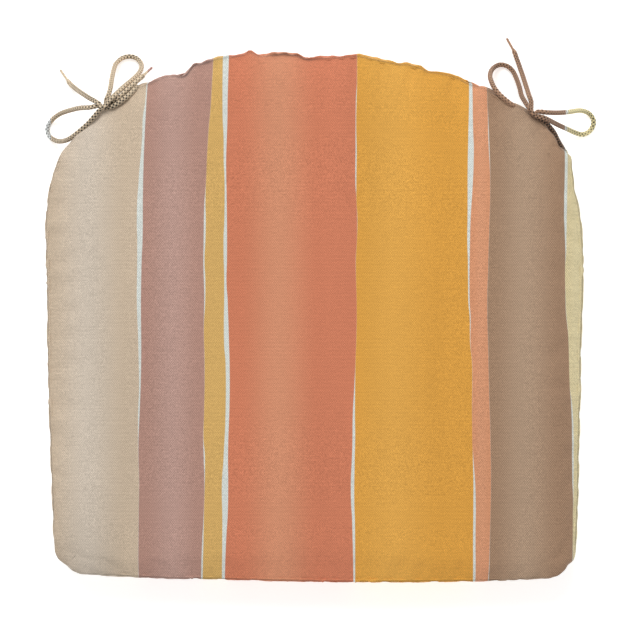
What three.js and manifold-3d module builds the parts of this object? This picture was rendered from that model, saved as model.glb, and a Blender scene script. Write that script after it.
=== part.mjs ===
// A boxed chair seat pad: a foam slab in fibre wadding, in a cover with a bulged side band, a curved
// zip along the back, and a braided tie cord, knotted in a bow, at each back corner.
// Millimetres. +X is to the right seen from the front, +Y towards the back edge, +Z up, and z = 0 is
// the surface that the pad lies on. "Outward" is measured from the plan outline, positive outside it.

import * as THREE from 'three';
import { mergeVertices } from 'three/addons/utils/BufferGeometryUtils.js';
import Module from 'manifold-3d';

const wasm = await Module();
wasm.setup();

// ---- Driving dimensions ----

const GAP = 0.3;                 // between pieces that touch
const CLOTH = 1;                 // cover cloth with its seam build-up

const PAD_DEPTH = 450;           // front to back
const PAD_HEIGHT = 50;
const BACK_RADIUS = 412;         // the arched back edge
const SHOULDER_RADIUS = 132;     // the sloped back corners
const SHOULDER_X = 96;
const CORNER_RADIUS = 24;        // the front corners
const CORNER_X = 198;
const FRONT_BOW = 4;             // how far the front edge bows forward between its corners

const SEAM_INSET = 5;            // the side band bulges this far beyond its two seams
const SEAM_RISE = 5;             // each seam is this far from the face above or below it
const CROWN_WIDTH = 14;          // plan width of the rounded edge of each face
const BAND_SWELL = 8;            // height over which the side band curves out to its full width

const WADDING = 3.4;
const BEVEL_STEPS = 2;           // facets across the rounded edge of each face
const BAND_STEPS = 120;          // facets along the side band

const ZIP_GAP = 12;              // open height between the two back bands
const HEM = 2;                   // height of the turned-in edge beside the zip
const HEM_DEPTH = 5.6;           // the zip lies in a valley between the two back bands
const TAPE = { half: 18.6, near: 0.9, far: 13, back: -6.5, front: -5.9 };
const COIL = { half: 18.6, near: 0.7, far: 3.7, back: -5.6, front: -3.6 };
const END_TAB = { left: 13.4, right: 18, half: 5.7, back: -3.3, front: -2.3 };
const ZIP_ROOM = 3.2;            // between the side band and the filling, for the slider's back plate

const SLIDER_ANGLE = 12.6;       // the closed zip's slider stands this many degrees left of centre
const SLIDER = { length: 9, half: 4.5, back: -8.1, backFace: -6.9, frontFace: -3.2, front: -2 };
const WEB = 0.4;                 // half the thickness of the post between the two coils
const BRIDGE = { length: 7, width: 1.6, rise: 2.8, bar: 1 };
const PULL = { length: 22, width: 5, thickness: 1, eyeStart: 0.5, eyeLength: 4.2, eyeWidth: 2.6 };
const PULL_LIFT = 0.9;           // height of the pull's pivot above the slider's front plate

const CORD = 4;                  // tie cord diameter
const CORD_SIDES = 8;
const CORD_STEP = 10;            // length of one straight piece of a cord's tube
const TIP_END = 2;               // diameter of a cord's sealed end
const KNOT_RADIUS = 4.2;
const KNOT_SIDES = 10;
const KNOT_INSET = 1.5;          // from the outline in to the knot's centre
const KNOT_LIFT = 4;             // from the seam up to the knot's centre
const TIP_GAP = 1;               // between a tail and its tip, which meet at a slight angle

// ---- Plan outline: six arcs and two straight sides, each meeting the next without a corner ----

const QUARTER = Math.PI / 2;
const BACK_CENTRE_Y = PAD_DEPTH / 2 - BACK_RADIUS;
const JOIN_ANGLE = Math.asin(SHOULDER_X / (BACK_RADIUS - SHOULDER_RADIUS));
const SHOULDER_Y = BACK_CENTRE_Y + (BACK_RADIUS - SHOULDER_RADIUS) * Math.cos(JOIN_ANGLE);
const CORNER_DROP = CORNER_RADIUS + FRONT_BOW;
const CORNER_Y = CORNER_DROP - PAD_DEPTH / 2;
const FRONT_RADIUS = (CORNER_X ** 2 + CORNER_DROP ** 2 - CORNER_RADIUS ** 2) / (2 * FRONT_BOW);
const FRONT_CENTRE_Y = FRONT_RADIUS - PAD_DEPTH / 2;
const FRONT_ANGLE = Math.asin(CORNER_X / (FRONT_RADIUS - CORNER_RADIUS));
const SIDE_RUN = Math.hypot(SHOULDER_X - CORNER_X, SHOULDER_Y - CORNER_Y);
const SIDE_TAPER = Math.acos((CORNER_RADIUS - SHOULDER_RADIUS) / SIDE_RUN)
  - Math.atan2(SHOULDER_Y - CORNER_Y, SHOULDER_X - CORNER_X);

const arc = (x, y, radius, from, to) => ({ x, y, radius, from, to });
const BACK_ARC = arc(0, BACK_CENTRE_Y, BACK_RADIUS, QUARTER - JOIN_ANGLE, QUARTER + JOIN_ANGLE);
const REST_OF_OUTLINE = [
  arc(-SHOULDER_X, SHOULDER_Y, SHOULDER_RADIUS, QUARTER + JOIN_ANGLE, 2 * QUARTER + SIDE_TAPER),
  arc(-CORNER_X, CORNER_Y, CORNER_RADIUS, 2 * QUARTER + SIDE_TAPER, 3 * QUARTER - FRONT_ANGLE),
  arc(0, FRONT_CENTRE_Y, FRONT_RADIUS, 3 * QUARTER - FRONT_ANGLE, 3 * QUARTER + FRONT_ANGLE),
  arc(CORNER_X, CORNER_Y, CORNER_RADIUS, 3 * QUARTER + FRONT_ANGLE, 4 * QUARTER - SIDE_TAPER),
  arc(SHOULDER_X, SHOULDER_Y, SHOULDER_RADIUS, 4 * QUARTER - SIDE_TAPER, 5 * QUARTER - JOIN_ANGLE),
];
const ARC_POINTS = 8;
const SAME_POINT = 0.01;

// The closed outline, moved inwards by `inset`.
function outlineShape(inset) {
  const points = [];
  for (const { x, y, radius, from, to } of [BACK_ARC, ...REST_OF_OUTLINE]) {
    for (let i = 0; i <= ARC_POINTS; i++) {
      const angle = from + (to - from) * i / ARC_POINTS;
      const reach = radius - inset;
      const point = new THREE.Vector2(x + reach * Math.cos(angle), y + reach * Math.sin(angle));
      const last = points.at(-1);
      if (!last || last.distanceTo(point) > SAME_POINT) points.push(point);
    }
  }
  if (points.at(-1).distanceTo(points[0]) < SAME_POINT) points.pop();
  return new THREE.Shape(points);
}

// A flat path in plan, followed at height 0.
class PlanCurve extends THREE.Curve {
  constructor(path) {
    super();
    this.path = path;
    this.arcLengthDivisions = 1000;
  }

  getPoint(t) {
    const point = this.path.getPoint(t);
    return new THREE.Vector3(point.x, point.y, 0);
  }
}

// The back arc between two angles in degrees, positive to the left of centre, followed clockwise.
function backPath(left, right) {
  const path = new THREE.Path();
  const start = QUARTER + THREE.MathUtils.degToRad(left);
  const end = QUARTER + THREE.MathUtils.degToRad(right);
  path.absarc(0, BACK_CENTRE_Y, BACK_RADIUS, start, end, true);
  return new PlanCurve(path);
}

// The whole outline except the back arc, followed clockwise.
function bandPath() {
  const path = new THREE.Path();
  for (const { x, y, radius, from, to } of [...REST_OF_OUTLINE].reverse()) {
    path.absarc(x, y, radius, to, from, true);
  }
  return new PlanCurve(path);
}

// ---- Solid makers ----

// Sweeps a section of [outward, height] points along a path followed clockwise.
function sweep(section, path, steps) {
  const points = section.map(([outward, height]) => new THREE.Vector2(-height, outward));
  return new THREE.ExtrudeGeometry(new THREE.Shape(points), { steps, extrudePath: path });
}

function rectangle(back, front, low, high) {
  return [[back, low], [front, low], [front, high], [back, high]];
}

// A slab of the outline's shape whose two faces are rounded at their edges.
function pillow(inset, low, high) {
  const geometry = new THREE.ExtrudeGeometry(outlineShape(inset + CROWN_WIDTH), {
    depth: high - low - 2 * SEAM_RISE,
    bevelThickness: SEAM_RISE,
    bevelSize: CROWN_WIDTH,
    bevelSegments: BEVEL_STEPS,
  });
  return geometry.translate(0, 0, low + SEAM_RISE);
}

function slab(inset, low, high) {
  const geometry = new THREE.ExtrudeGeometry(outlineShape(inset), {
    depth: high - low,
    bevelEnabled: false,
  });
  return geometry.translate(0, 0, low);
}

// A box larger than the pad in plan, used to cut it at two heights.
function layer(low, high) {
  const geometry = new THREE.BoxGeometry(2 * PAD_DEPTH, 2 * PAD_DEPTH, high - low);
  return geometry.translate(0, 0, (low + high) / 2);
}

function toManifold(geometry) {
  const bare = geometry.clone();
  bare.deleteAttribute('normal');
  bare.deleteAttribute('uv');
  const merged = mergeVertices(bare);
  return new wasm.Manifold(new wasm.Mesh({
    numProp: 3,
    vertProperties: Float32Array.from(merged.attributes.position.array),
    triVerts: Uint32Array.from(merged.index.array),
  }));
}

function toGeometry(manifold) {
  const { vertProperties, triVerts } = manifold.getMesh();
  const geometry = new THREE.BufferGeometry();
  geometry.setAttribute('position', new THREE.BufferAttribute(vertProperties, 3));
  geometry.setIndex(new THREE.BufferAttribute(triVerts, 1));
  geometry.computeVertexNormals();
  return geometry;
}

// ---- Materials ----

const cloth = (color) => new THREE.MeshStandardMaterial({ color, roughness: 0.9, metalness: 0 });
const nylon = (color) => new THREE.MeshStandardMaterial({ color, roughness: 0.5, metalness: 0 });
const metal = (color) => new THREE.MeshStandardMaterial({ color, roughness: 0.35, metalness: 1 });

const STRIPED_CLOTH = '#cb8a62';
const FOAM = '#e8e0c6';
const FIBRE = '#f2f1ec';
const ZIP_TAPE = '#b79a7a';
const ZIP_COIL = '#a98c6d';
const ZIP_METAL = '#b9b4aa';
const LEFT_CORD = '#b1a48f';
const RIGHT_CORD = '#7d6450';

const pad = new THREE.Group();

function place(name, geometry, material, parent = pad) {
  const mesh = new THREE.Mesh(geometry, material);
  mesh.name = name;
  parent.add(mesh);
  return mesh;
}

// ---- Filling ----

function addFilling() {
  const skin = SEAM_INSET + CLOTH + ZIP_ROOM;
  const face = CLOTH + GAP;
  const wrap = toManifold(pillow(skin, face, PAD_HEIGHT - face));
  const pocket = toManifold(slab(skin + WADDING, face + WADDING, PAD_HEIGHT - face - WADDING));
  const wadding = wrap.subtract(pocket);
  const middle = PAD_HEIGHT / 2;
  const upper = wadding.intersect(toManifold(layer(middle + GAP / 2, PAD_HEIGHT)));
  const lower = wadding.intersect(toManifold(layer(0, middle - GAP / 2)));
  const foamFace = face + WADDING + GAP;
  place('foam_core', slab(skin + WADDING + GAP, foamFace, PAD_HEIGHT - foamFace), cloth(FOAM));
  place('wadding_top', toGeometry(upper), cloth(FIBRE));
  place('wadding_bottom', toGeometry(lower), cloth(FIBRE));
}

// ---- Cover ----

const UPPER_SEAM = PAD_HEIGHT - SEAM_RISE;
const LOWER_SEAM = SEAM_RISE;

function addPanels() {
  const outside = toManifold(pillow(SEAM_INSET, 0, PAD_HEIGHT));
  const inside = toManifold(pillow(SEAM_INSET + CLOTH, CLOTH, PAD_HEIGHT - CLOTH));
  const skin = outside.subtract(inside);
  const upper = skin.intersect(toManifold(layer(UPPER_SEAM, PAD_HEIGHT + 1)));
  const lower = skin.intersect(toManifold(layer(-1, LOWER_SEAM)));
  place('top_panel', toGeometry(upper), cloth(STRIPED_CLOTH));
  place('bottom_panel', toGeometry(lower), cloth(STRIPED_CLOTH));
}

// Half of the band's section, from its seam out to its full width: [outward, distance from seam].
const SWELL_OUTSIDE = [[-SEAM_INSET, GAP], [0, BAND_SWELL]];
const SWELL_INSIDE = [[-CLOTH, BAND_SWELL + CLOTH / 2], [-SEAM_INSET - CLOTH, GAP + CLOTH / 2]];
const fromAbove = ([outward, distance]) => [outward, UPPER_SEAM - distance];
const fromBelow = ([outward, distance]) => [outward, LOWER_SEAM + distance];

function addBoxingStrip() {
  const section = [
    ...SWELL_OUTSIDE.map(fromBelow),
    ...SWELL_OUTSIDE.map(fromAbove).reverse(),
    ...SWELL_INSIDE.map(fromAbove).reverse(),
    ...SWELL_INSIDE.map(fromBelow),
  ];
  place('boxing_strip', sweep(section, bandPath(), BAND_STEPS), cloth(STRIPED_CLOTH));
}

const ZIP_HEIGHT = PAD_HEIGHT / 2;
const BAND_HALF = THREE.MathUtils.radToDeg(JOIN_ANGLE - GAP / BACK_RADIUS);
const ARC_STEPS = 18;
const TAB_STEPS = 2;

// One back band: a swelled strip whose edge beside the zip is turned in to meet the zip tape.
function zipStrip(half, side) {
  const edge = ZIP_HEIGHT + side * ZIP_GAP / 2;
  return sweep([
    ...SWELL_OUTSIDE.map(half),
    [0, edge],
    [-HEM_DEPTH, edge],
    [-HEM_DEPTH, edge + side * HEM],
    [-CLOTH, edge + side * HEM],
    ...SWELL_INSIDE.map(half),
  ], backPath(BAND_HALF, -BAND_HALF), ARC_STEPS);
}

function zipHalf({ half, near, far, back, front }, side) {
  const ends = [ZIP_HEIGHT + side * near, ZIP_HEIGHT + side * far].sort((a, b) => a - b);
  return sweep(rectangle(back, front, ...ends), backPath(half, -half), ARC_STEPS);
}

function addZip() {
  for (const [name, side, half] of [['upper', 1, fromAbove], ['lower', -1, fromBelow]]) {
    place(`zip_strip_${name}`, zipStrip(half, side), cloth(STRIPED_CLOTH));
    place(`zip_tape_${name}`, zipHalf(TAPE, side), cloth(ZIP_TAPE));
    place(`zip_coil_${name}`, zipHalf(COIL, side), nylon(ZIP_COIL));
  }
  const tab = rectangle(END_TAB.back, END_TAB.front, ZIP_HEIGHT - END_TAB.half, ZIP_HEIGHT + END_TAB.half);
  const left = backPath(BAND_HALF, END_TAB.left);
  const right = backPath(-END_TAB.right, -BAND_HALF);
  place('zip_end_tab_left', sweep(tab, left, TAB_STEPS), cloth(STRIPED_CLOTH));
  place('zip_end_tab_right', sweep(tab, right, TAB_STEPS), cloth(STRIPED_CLOTH));
}

// ---- Zip slider and pull, in a group turned about the back arc's centre ----
// Inside the group +Y points outward through the slider, and y is measured from the outline.

// Turns a shape drawn as (outward, height) and extruded forward into the group's Y, Z and X.
const ALONG_ZIP = new THREE.Matrix4().makeBasis(
  new THREE.Vector3(0, 1, 0),
  new THREE.Vector3(0, 0, 1),
  new THREE.Vector3(1, 0, 0),
);

// Two plates joined by a post that runs between the coils.
function sliderBody() {
  const { length, half, back, backFace, frontFace, front } = SLIDER;
  const section = new THREE.Shape([
    [back, -half], [backFace, -half], [backFace, -WEB], [frontFace, -WEB], [frontFace, -half],
    [front, -half], [front, half], [frontFace, half], [frontFace, WEB], [backFace, WEB],
    [backFace, half], [back, half],
  ].map(([outward, height]) => new THREE.Vector2(outward, height)));
  const body = new THREE.ExtrudeGeometry(section, { depth: length, bevelEnabled: false });
  return body.translate(0, 0, -length / 2).applyMatrix4(ALONG_ZIP);
}

// The arch on the front plate that the pull's eye goes round.
function sliderBridge() {
  const { length, width, rise, bar } = BRIDGE;
  const foot = SLIDER.front - bar / 2;
  const top = SLIDER.front + rise;
  const side = length / 2;
  const arch = new THREE.Shape([
    [-side, foot], [bar - side, foot], [bar - side, top - bar], [side - bar, top - bar],
    [side - bar, foot], [side, foot], [side, top], [-side, top],
  ].map(([along, outward]) => new THREE.Vector2(along, outward)));
  return new THREE.ExtrudeGeometry(arch, { depth: width, bevelEnabled: false }).translate(0, 0, -width / 2);
}

// A flat tab with a rectangular eye near its pivot.
function pullTab() {
  const { length, width, thickness, eyeStart, eyeLength, eyeWidth } = PULL;
  const rectanglePoints = (start, end, half) => [
    new THREE.Vector2(start, -half),
    new THREE.Vector2(end, -half),
    new THREE.Vector2(end, half),
    new THREE.Vector2(start, half),
  ];
  const plate = new THREE.Shape(rectanglePoints(-eyeStart, length, width / 2));
  plate.holes.push(new THREE.Path(rectanglePoints(eyeStart, eyeStart + eyeLength, eyeWidth / 2)));
  const tab = new THREE.ExtrudeGeometry(plate, { depth: thickness, bevelEnabled: false });
  return tab.translate(0, 0, -thickness / 2).rotateX(QUARTER);
}

function addSlider() {
  const turntable = new THREE.Group();
  turntable.position.set(0, BACK_CENTRE_Y, ZIP_HEIGHT);
  turntable.rotation.z = THREE.MathUtils.degToRad(SLIDER_ANGLE);
  pad.add(turntable);
  const slider = toGeometry(toManifold(sliderBody()).add(toManifold(sliderBridge())));
  place('zip_slider', slider, metal(ZIP_METAL), turntable).position.y = BACK_RADIUS;
  const pivot = BACK_RADIUS + SLIDER.front + PULL_LIFT;
  place('zip_pull', pullTab(), metal(ZIP_METAL), turntable).position.y = pivot;
}

// ---- Tie cords ----
// Each back corner has one cord, caught at its middle in the upper seam and tied in a bow. The knot
// sits on the seam. The loops and tails lie on the band's shoulder, then drop to the surface. On the
// left a root of the cord runs along the seam from where it comes out to the knot.

const SHOULDER_RIDE = SHOULDER_RADIUS - KNOT_INSET;
const KNOT_HEIGHT = UPPER_SEAM + KNOT_LIFT;

const BOWS = {
  left: {
    color: LEFT_CORD,
    bearing: 128.7,
    loops: {
      rear: [
        [-176, 184, 47.4], [-174.3, 188, 45.2], [-173.2, 194.7, 38], [-172.9, 203.7, 26],
        [-172.2, 212.8, 13], [-170.5, 218.7, 6], [-165.5, 223.4, 2.4], [-158.9, 224.7, 2.2],
        [-152.9, 222.6, 3.6], [-148.8, 217, 10], [-149.1, 210.1, 22], [-153.1, 203.6, 33],
        [-160.6, 195.9, 42.8], [-166.9, 189.1, 49], [-171, 184.9, 51.5], [-174.3, 181.2, 52.1],
      ],
      outer: [
        [-183.1, 178.4, 48.2], [-190.9, 177.4, 44.5], [-199.3, 177.5, 37], [-208.1, 176.6, 26],
        [-217.1, 174.9, 14], [-223.1, 172.2, 7], [-227.1, 168.8, 3.4], [-229.8, 164.3, 2.2],
        [-230.1, 160.3, 2.2], [-228.5, 156.1, 2.8], [-224.8, 152.9, 6], [-219.2, 150.8, 14],
        [-212.9, 150.6, 26], [-207.8, 151.6, 37], [-202, 154.8, 44], [-196.7, 158.9, 46.8],
        [-191.4, 163.5, 48.2], [-186.6, 168.6, 49.8], [-181.8, 174.2, 50.6],
      ],
    },
    tails: {
      rear: [
        [-173.2, 180.9, 46.6], [-170.6, 182.2, 47.2], [-164.9, 185.5, 47.3], [-158.5, 191.8, 46.5],
        [-151.8, 198.2, 45], [-145.7, 203.9, 43], [-137.6, 212.1, 38],
      ],
      outer: [
        [-182.4, 180.6, 51.6], [-186.2, 182.9, 48], [-190.5, 185.4, 43], [-195.4, 188.8, 34.5],
        [-200.3, 192.3, 25], [-204, 195.2, 16], [-207.2, 197.9, 8.8], [-209.6, 200, 5],
        [-211.6, 202.4, 3.5], [-219.5, 213.5, 2],
      ],
    },
    root: [
      [-152.6, 191.9, 47], [-155.8, 188.4, 49.2], [-161.6, 183.5, 50.4], [-167.5, 179.3, 50.6],
      [-172.4, 177, 50],
    ],
  },
  right: {
    color: RIGHT_CORD,
    bearing: 47.8,
    loops: {
      rear: [
        [180.5, 176.8, 52.3], [178.3, 181.6, 47], [176, 188, 36], [175.1, 196.2, 24],
        [173.3, 205, 12], [170.8, 211.8, 5], [166.3, 216.3, 2.2], [160.2, 217.6, 2.6],
        [154.9, 215.2, 6.5], [151.3, 210.6, 15], [149.9, 204.9, 26], [150.8, 198.6, 37],
        [152.9, 193, 44.8], [156.7, 188, 47.6], [161.6, 183.6, 48.4], [166, 180.2, 48.6],
      ],
      side: [
        [188.8, 173.8, 49.6], [195.6, 173, 47.8], [201.8, 173.1, 42.5], [208, 173.6, 36],
        [215.7, 174.8, 26.5], [221.7, 176.2, 19], [227.8, 177.4, 11.5], [233.8, 176.7, 5.5],
        [237.9, 174.3, 2.6], [240.5, 169.8, 2.2], [239.9, 164.4, 2.2], [236.4, 159.7, 2.3],
        [230.9, 157.4, 3], [224.4, 158.7, 6.5], [215.9, 161.5, 16], [207.1, 163.9, 30],
        [198.6, 166.5, 45.6], [193, 168.4, 51.4], [187.1, 169.9, 52.4],
      ],
    },
    tails: {
      rear: [
        [183.2, 178, 47.3], [183.2, 182.8, 46], [181.8, 188, 41.8], [179.9, 197.2, 32],
        [177.9, 207.5, 19.5], [175.5, 217.6, 9], [173.9, 223.4, 4.5], [172.5, 228.3, 2.6],
        [165.6, 240.6, 2],
      ],
      side: [
        [187.6, 169.3, 47], [190.4, 167.9, 45.4], [194.2, 165.8, 42.6], [199.3, 161.8, 38],
        [204, 156.8, 32], [207.6, 151.1, 25.5], [211.8, 145.5, 18], [215.4, 141.4, 12],
        [220.8, 137.3, 4],
      ],
    },
  },
};

function cordTube(points) {
  const corners = Array.from({ length: CORD_SIDES }, (_, i) => {
    const angle = 2 * Math.PI * i / CORD_SIDES;
    return new THREE.Vector2(CORD / 2 * Math.cos(angle), CORD / 2 * Math.sin(angle));
  });
  const route = new THREE.CatmullRomCurve3(points.map((point) => new THREE.Vector3(...point)));
  const steps = Math.ceil(route.getLength() / CORD_STEP);
  return new THREE.ExtrudeGeometry(new THREE.Shape(corners), { steps, extrudePath: route });
}

// The tapered, sealed end of a tail, from `start` to `end`.
function cordTip(start, end) {
  const from = new THREE.Vector3(...start);
  const to = new THREE.Vector3(...end);
  const direction = to.clone().sub(from).normalize();
  from.addScaledVector(direction, TIP_GAP);
  const geometry = new THREE.CylinderGeometry(TIP_END / 2, CORD / 2, from.distanceTo(to), CORD_SIDES);
  const turn = new THREE.Quaternion().setFromUnitVectors(new THREE.Vector3(0, 1, 0), direction);
  const middle = from.add(to).multiplyScalar(0.5);
  return geometry.applyQuaternion(turn).translate(middle.x, middle.y, middle.z);
}

function addBow(side, { color, bearing, loops, tails, root }) {
  const angle = THREE.MathUtils.degToRad(bearing);
  const centreX = side === 'left' ? -SHOULDER_X : SHOULDER_X;
  const ball = new THREE.SphereGeometry(KNOT_RADIUS, KNOT_SIDES, KNOT_SIDES - 2);
  const knot = place(`tie_knot_${side}`, ball, cloth(color));
  knot.position.set(
    centreX + SHOULDER_RIDE * Math.cos(angle),
    SHOULDER_Y + SHOULDER_RIDE * Math.sin(angle),
    KNOT_HEIGHT,
  );
  for (const [name, points] of Object.entries(loops)) {
    place(`tie_loop_${side}_${name}`, cordTube(points), cloth(color));
  }
  for (const [name, points] of Object.entries(tails)) {
    place(`tie_tail_${side}_${name}`, cordTube(points.slice(0, -1)), cloth(color));
    place(`tie_tip_${side}_${name}`, cordTip(...points.slice(-2)), cloth(color));
  }
  if (root) place(`tie_root_${side}`, cordTube(root), cloth(color));
}

addFilling();
addPanels();
addBoxingStrip();
addZip();
addSlider();
for (const [side, bow] of Object.entries(BOWS)) addBow(side, bow);

export default pad;
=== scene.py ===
"""A boxed chair seat pad: striped woven cover swelled over its filling by cloth simulation, a curved
zip along the back, and a braided cord tied in a bow at each back corner.

Shapes are worked out in millimetres and turned into metres when a mesh is made.
"""
import math

import bmesh
import bpy
import numpy as np
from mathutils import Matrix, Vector


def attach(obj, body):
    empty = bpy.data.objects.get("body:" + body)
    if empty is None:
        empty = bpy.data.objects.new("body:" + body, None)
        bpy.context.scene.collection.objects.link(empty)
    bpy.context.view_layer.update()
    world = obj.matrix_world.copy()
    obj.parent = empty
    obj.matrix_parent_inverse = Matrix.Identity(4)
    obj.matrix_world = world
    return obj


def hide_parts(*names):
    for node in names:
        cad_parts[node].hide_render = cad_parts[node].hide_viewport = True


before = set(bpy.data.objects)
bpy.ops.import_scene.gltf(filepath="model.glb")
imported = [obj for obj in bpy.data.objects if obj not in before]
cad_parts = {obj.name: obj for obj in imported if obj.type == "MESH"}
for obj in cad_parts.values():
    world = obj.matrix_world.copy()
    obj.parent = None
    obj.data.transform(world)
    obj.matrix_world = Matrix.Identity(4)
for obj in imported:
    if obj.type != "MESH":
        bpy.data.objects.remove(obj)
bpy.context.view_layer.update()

MM = 0.001
scene = bpy.context.scene

# ---- Camera: straight above, at the distance of a long lens ----

LENS, SENSOR = 150, 36
VIEW_WIDTH, VIEW_CENTRE = 0.544, (0.0047, -0.0025)
SIGHT_HEIGHT = 0.035             # the height at which the view is VIEW_WIDTH wide

camera = bpy.data.objects.new("camera", bpy.data.cameras.new("camera"))
scene.collection.objects.link(camera)
camera.data.lens = LENS
camera.data.sensor_width = SENSOR
camera.location = (*VIEW_CENTRE, SIGHT_HEIGHT + VIEW_WIDTH * LENS / SENSOR)
scene.camera = camera

# ---- Mesh helpers ----


def add_mesh(name, points_mm, faces, material, flip=False):
    mesh = bpy.data.meshes.new(name)
    if flip:
        faces = [face[::-1] for face in faces]
    mesh.from_pydata((np.asarray(points_mm) * MM).tolist(), [], faces)
    mesh.validate()
    mesh.shade_smooth()
    obj = bpy.data.objects.new(name, mesh)
    scene.collection.objects.link(obj)
    mesh.materials.append(material)
    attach(obj, "pad")
    return obj


def point_attribute(obj, name, values):
    layer = obj.data.attributes.new(name, "FLOAT", "POINT")
    layer.data.foreach_set("value", np.asarray(values, np.float32))


def thicken(obj, thickness_mm):
    solid = obj.modifiers.new("thickness", "SOLIDIFY")
    solid.thickness = thickness_mm * MM
    return obj


def ring_faces(rows, count, closed=True):
    """Faces between rows of points, each row a closed or an open line."""
    reach = count if closed else count - 1
    return [(r * count + k, r * count + (k + 1) % count,
             (r + 1) * count + (k + 1) % count, (r + 1) * count + k)
            for r in range(rows - 1) for k in range(reach)]


def add_tubes(name, tubes, material):
    """One piece made of closed bodies, each a list of rings that is capped at both ends."""
    points, faces = [], []
    for tube in tubes:
        tube = np.asarray(tube)
        rows, count = tube.shape[:2]
        start = sum(map(len, points))
        ends = [tuple(range(count)), tuple(range((rows - 1) * count, rows * count))]
        faces += [tuple(start + k for k in face) for face in ring_faces(rows, count) + ends]
        points.append(tube.reshape(-1, 3))
    obj = add_mesh(name, np.vstack(points), faces, material)
    made = bmesh.new()
    made.from_mesh(obj.data)
    bmesh.ops.recalc_face_normals(made, faces=made.faces)
    made.to_mesh(obj.data)
    made.free()
    return obj


def distance_along(line):
    return np.concatenate([[0], np.cumsum(np.linalg.norm(np.diff(line, axis=0), axis=1))])


def resampled(at, places, rows):
    """Rows of numbers that belong to some places, worked out at others."""
    return np.stack([np.interp(at, places, column) for column in rows.T], 1)


def unit_rings(line, sides):
    """A ring of unit size round each point of a line, turned as little as possible between them."""
    along = np.gradient(line, axis=0)
    along /= np.linalg.norm(along, axis=1)[:, None]
    side, across = np.cross(along[0], (0, 0, 1.0)), []
    for direction in along:
        side = side - direction * side.dot(direction)
        side /= np.linalg.norm(side)
        across.append(side)
    up = np.cross(along, across)
    around = full_turn(sides)[None, :, None]
    return np.cos(around) * np.array(across)[:, None] + np.sin(around) * up[:, None]


def full_turn(sides):
    return 2 * math.pi * np.arange(sides) / sides


def eased(share):
    return share * share * (3 - 2 * share)


def rounded(share):
    """A quarter-round rise from 0 to 1, steep at its start."""
    return np.sqrt(1 - (1 - np.clip(share, 0, 1)) ** 2.2)


# ---- Material helpers ----


def srgb(red, green, blue):
    """Linear colour of an 8-bit one."""
    def linear(v):
        v /= 255
        return v / 12.92 if v <= 0.04045 else ((v + 0.055) / 1.055) ** 2.4
    return (linear(red), linear(green), linear(blue), 1)


class Shader:
    """A Principled material, with short names for the nodes that feed it."""

    def __init__(self, name, roughness, colour, **inputs):
        self.colour = colour
        self.material = bpy.data.materials.new(name)
        self.material.use_nodes = True
        self.tree = self.material.node_tree
        self.bsdf = self.tree.nodes["Principled BSDF"]
        self.bsdf.inputs["Roughness"].default_value = roughness
        for key, value in inputs.items():
            self.bsdf.inputs[key.replace("_", " ")].default_value = value
        self.place = self.node("ShaderNodeTexCoord").outputs["Object"]
        self.x, self.y, self.z = self.node("ShaderNodeSeparateXYZ", Vector=self.place).outputs

    def node(self, kind, settings=(), **inputs):
        made = self.tree.nodes.new(kind)
        for key, value in dict(settings).items():
            setattr(made, key, value)
        for key, value in inputs.items():
            self.feed(made.inputs[key.replace("_", " ")], value)
        return made

    def feed(self, socket, value):
        if isinstance(value, bpy.types.NodeSocket):
            self.tree.links.new(value, socket)
        else:
            socket.default_value = value

    def math(self, operation, *values, clamp=False):
        made = self.node("ShaderNodeMath", {"operation": operation, "use_clamp": clamp})
        for socket, value in zip(made.inputs, values):
            self.feed(socket, value)
        return made.outputs[0]

    def between(self, value, low, high, to_low=0.0, to_high=1.0, smooth=False):
        kind = "SMOOTHSTEP" if smooth else "LINEAR"
        made = self.node("ShaderNodeMapRange", {"interpolation_type": kind})
        for socket, number in zip(made.inputs, (value, low, high, to_low, to_high)):
            self.feed(socket, number)
        return made.outputs[0]

    def mix(self, factor, first, second, blend="MIX"):
        made = self.node("ShaderNodeMix", {"data_type": "RGBA", "blend_type": blend})
        self.feed(made.inputs[0], factor)
        self.feed(made.inputs[6], first)
        self.feed(made.inputs[7], second)
        return made.outputs[2]

    def choose(self, factor, first, second):
        """Numbers mixed by a factor."""
        made = self.node("ShaderNodeMix")
        for socket, value in zip((made.inputs[0], *made.inputs[2:4]), (factor, first, second)):
            self.feed(socket, value)
        return made.outputs[0]

    def noise(self, scale, stretch=(1, 1, 1), detail=2.0):
        place = self.node("ShaderNodeMapping", Vector=self.place, Scale=stretch).outputs[0]
        return self.node("ShaderNodeTexNoise", Vector=place, Scale=scale, Detail=detail).outputs[0]

    def curve(self, value, points):
        made = self.node("ShaderNodeFloatCurve", Value=value)
        line = made.mapping.curves[0].points
        line[0].location, line[1].location = points[0], points[-1]
        for x, y in points[1:-1]:
            line.new(x, y)
        made.mapping.update()
        return made.outputs[0]

    def attribute(self, name):
        return self.node("ShaderNodeAttribute", {"attribute_name": name}).outputs["Fac"]

    def shade(self, factor):
        """Makes the colour lighter or darker by a factor."""
        grey = self.node("ShaderNodeCombineColor")
        for socket in grey.inputs:
            self.feed(socket, factor)
        self.colour = self.mix(1.0, self.colour, grey.outputs[0], "MULTIPLY")

    def vary(self, value, to_low, to_high, low=0.3, high=0.7):
        """Shades the colour by a value, which is a noise unless its range is given."""
        self.shade(self.between(value, low, high, to_low, to_high))

    def bump(self, height, strength, depth_mm):
        made = self.node("ShaderNodeBump", Height=height, Strength=strength, Distance=depth_mm * MM)
        self.feed(self.bsdf.inputs["Normal"], made.outputs[0])

    def finish(self):
        self.feed(self.bsdf.inputs["Base Color"], self.colour)
        return self.material


# ---- The cover's printed stripes ----
# Each stripe starts where a painted edge wanders from the front (y -230) to the back (y 230). Where
# two edges part, bare pale cloth shows between two stripes. All in millimetres.

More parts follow.
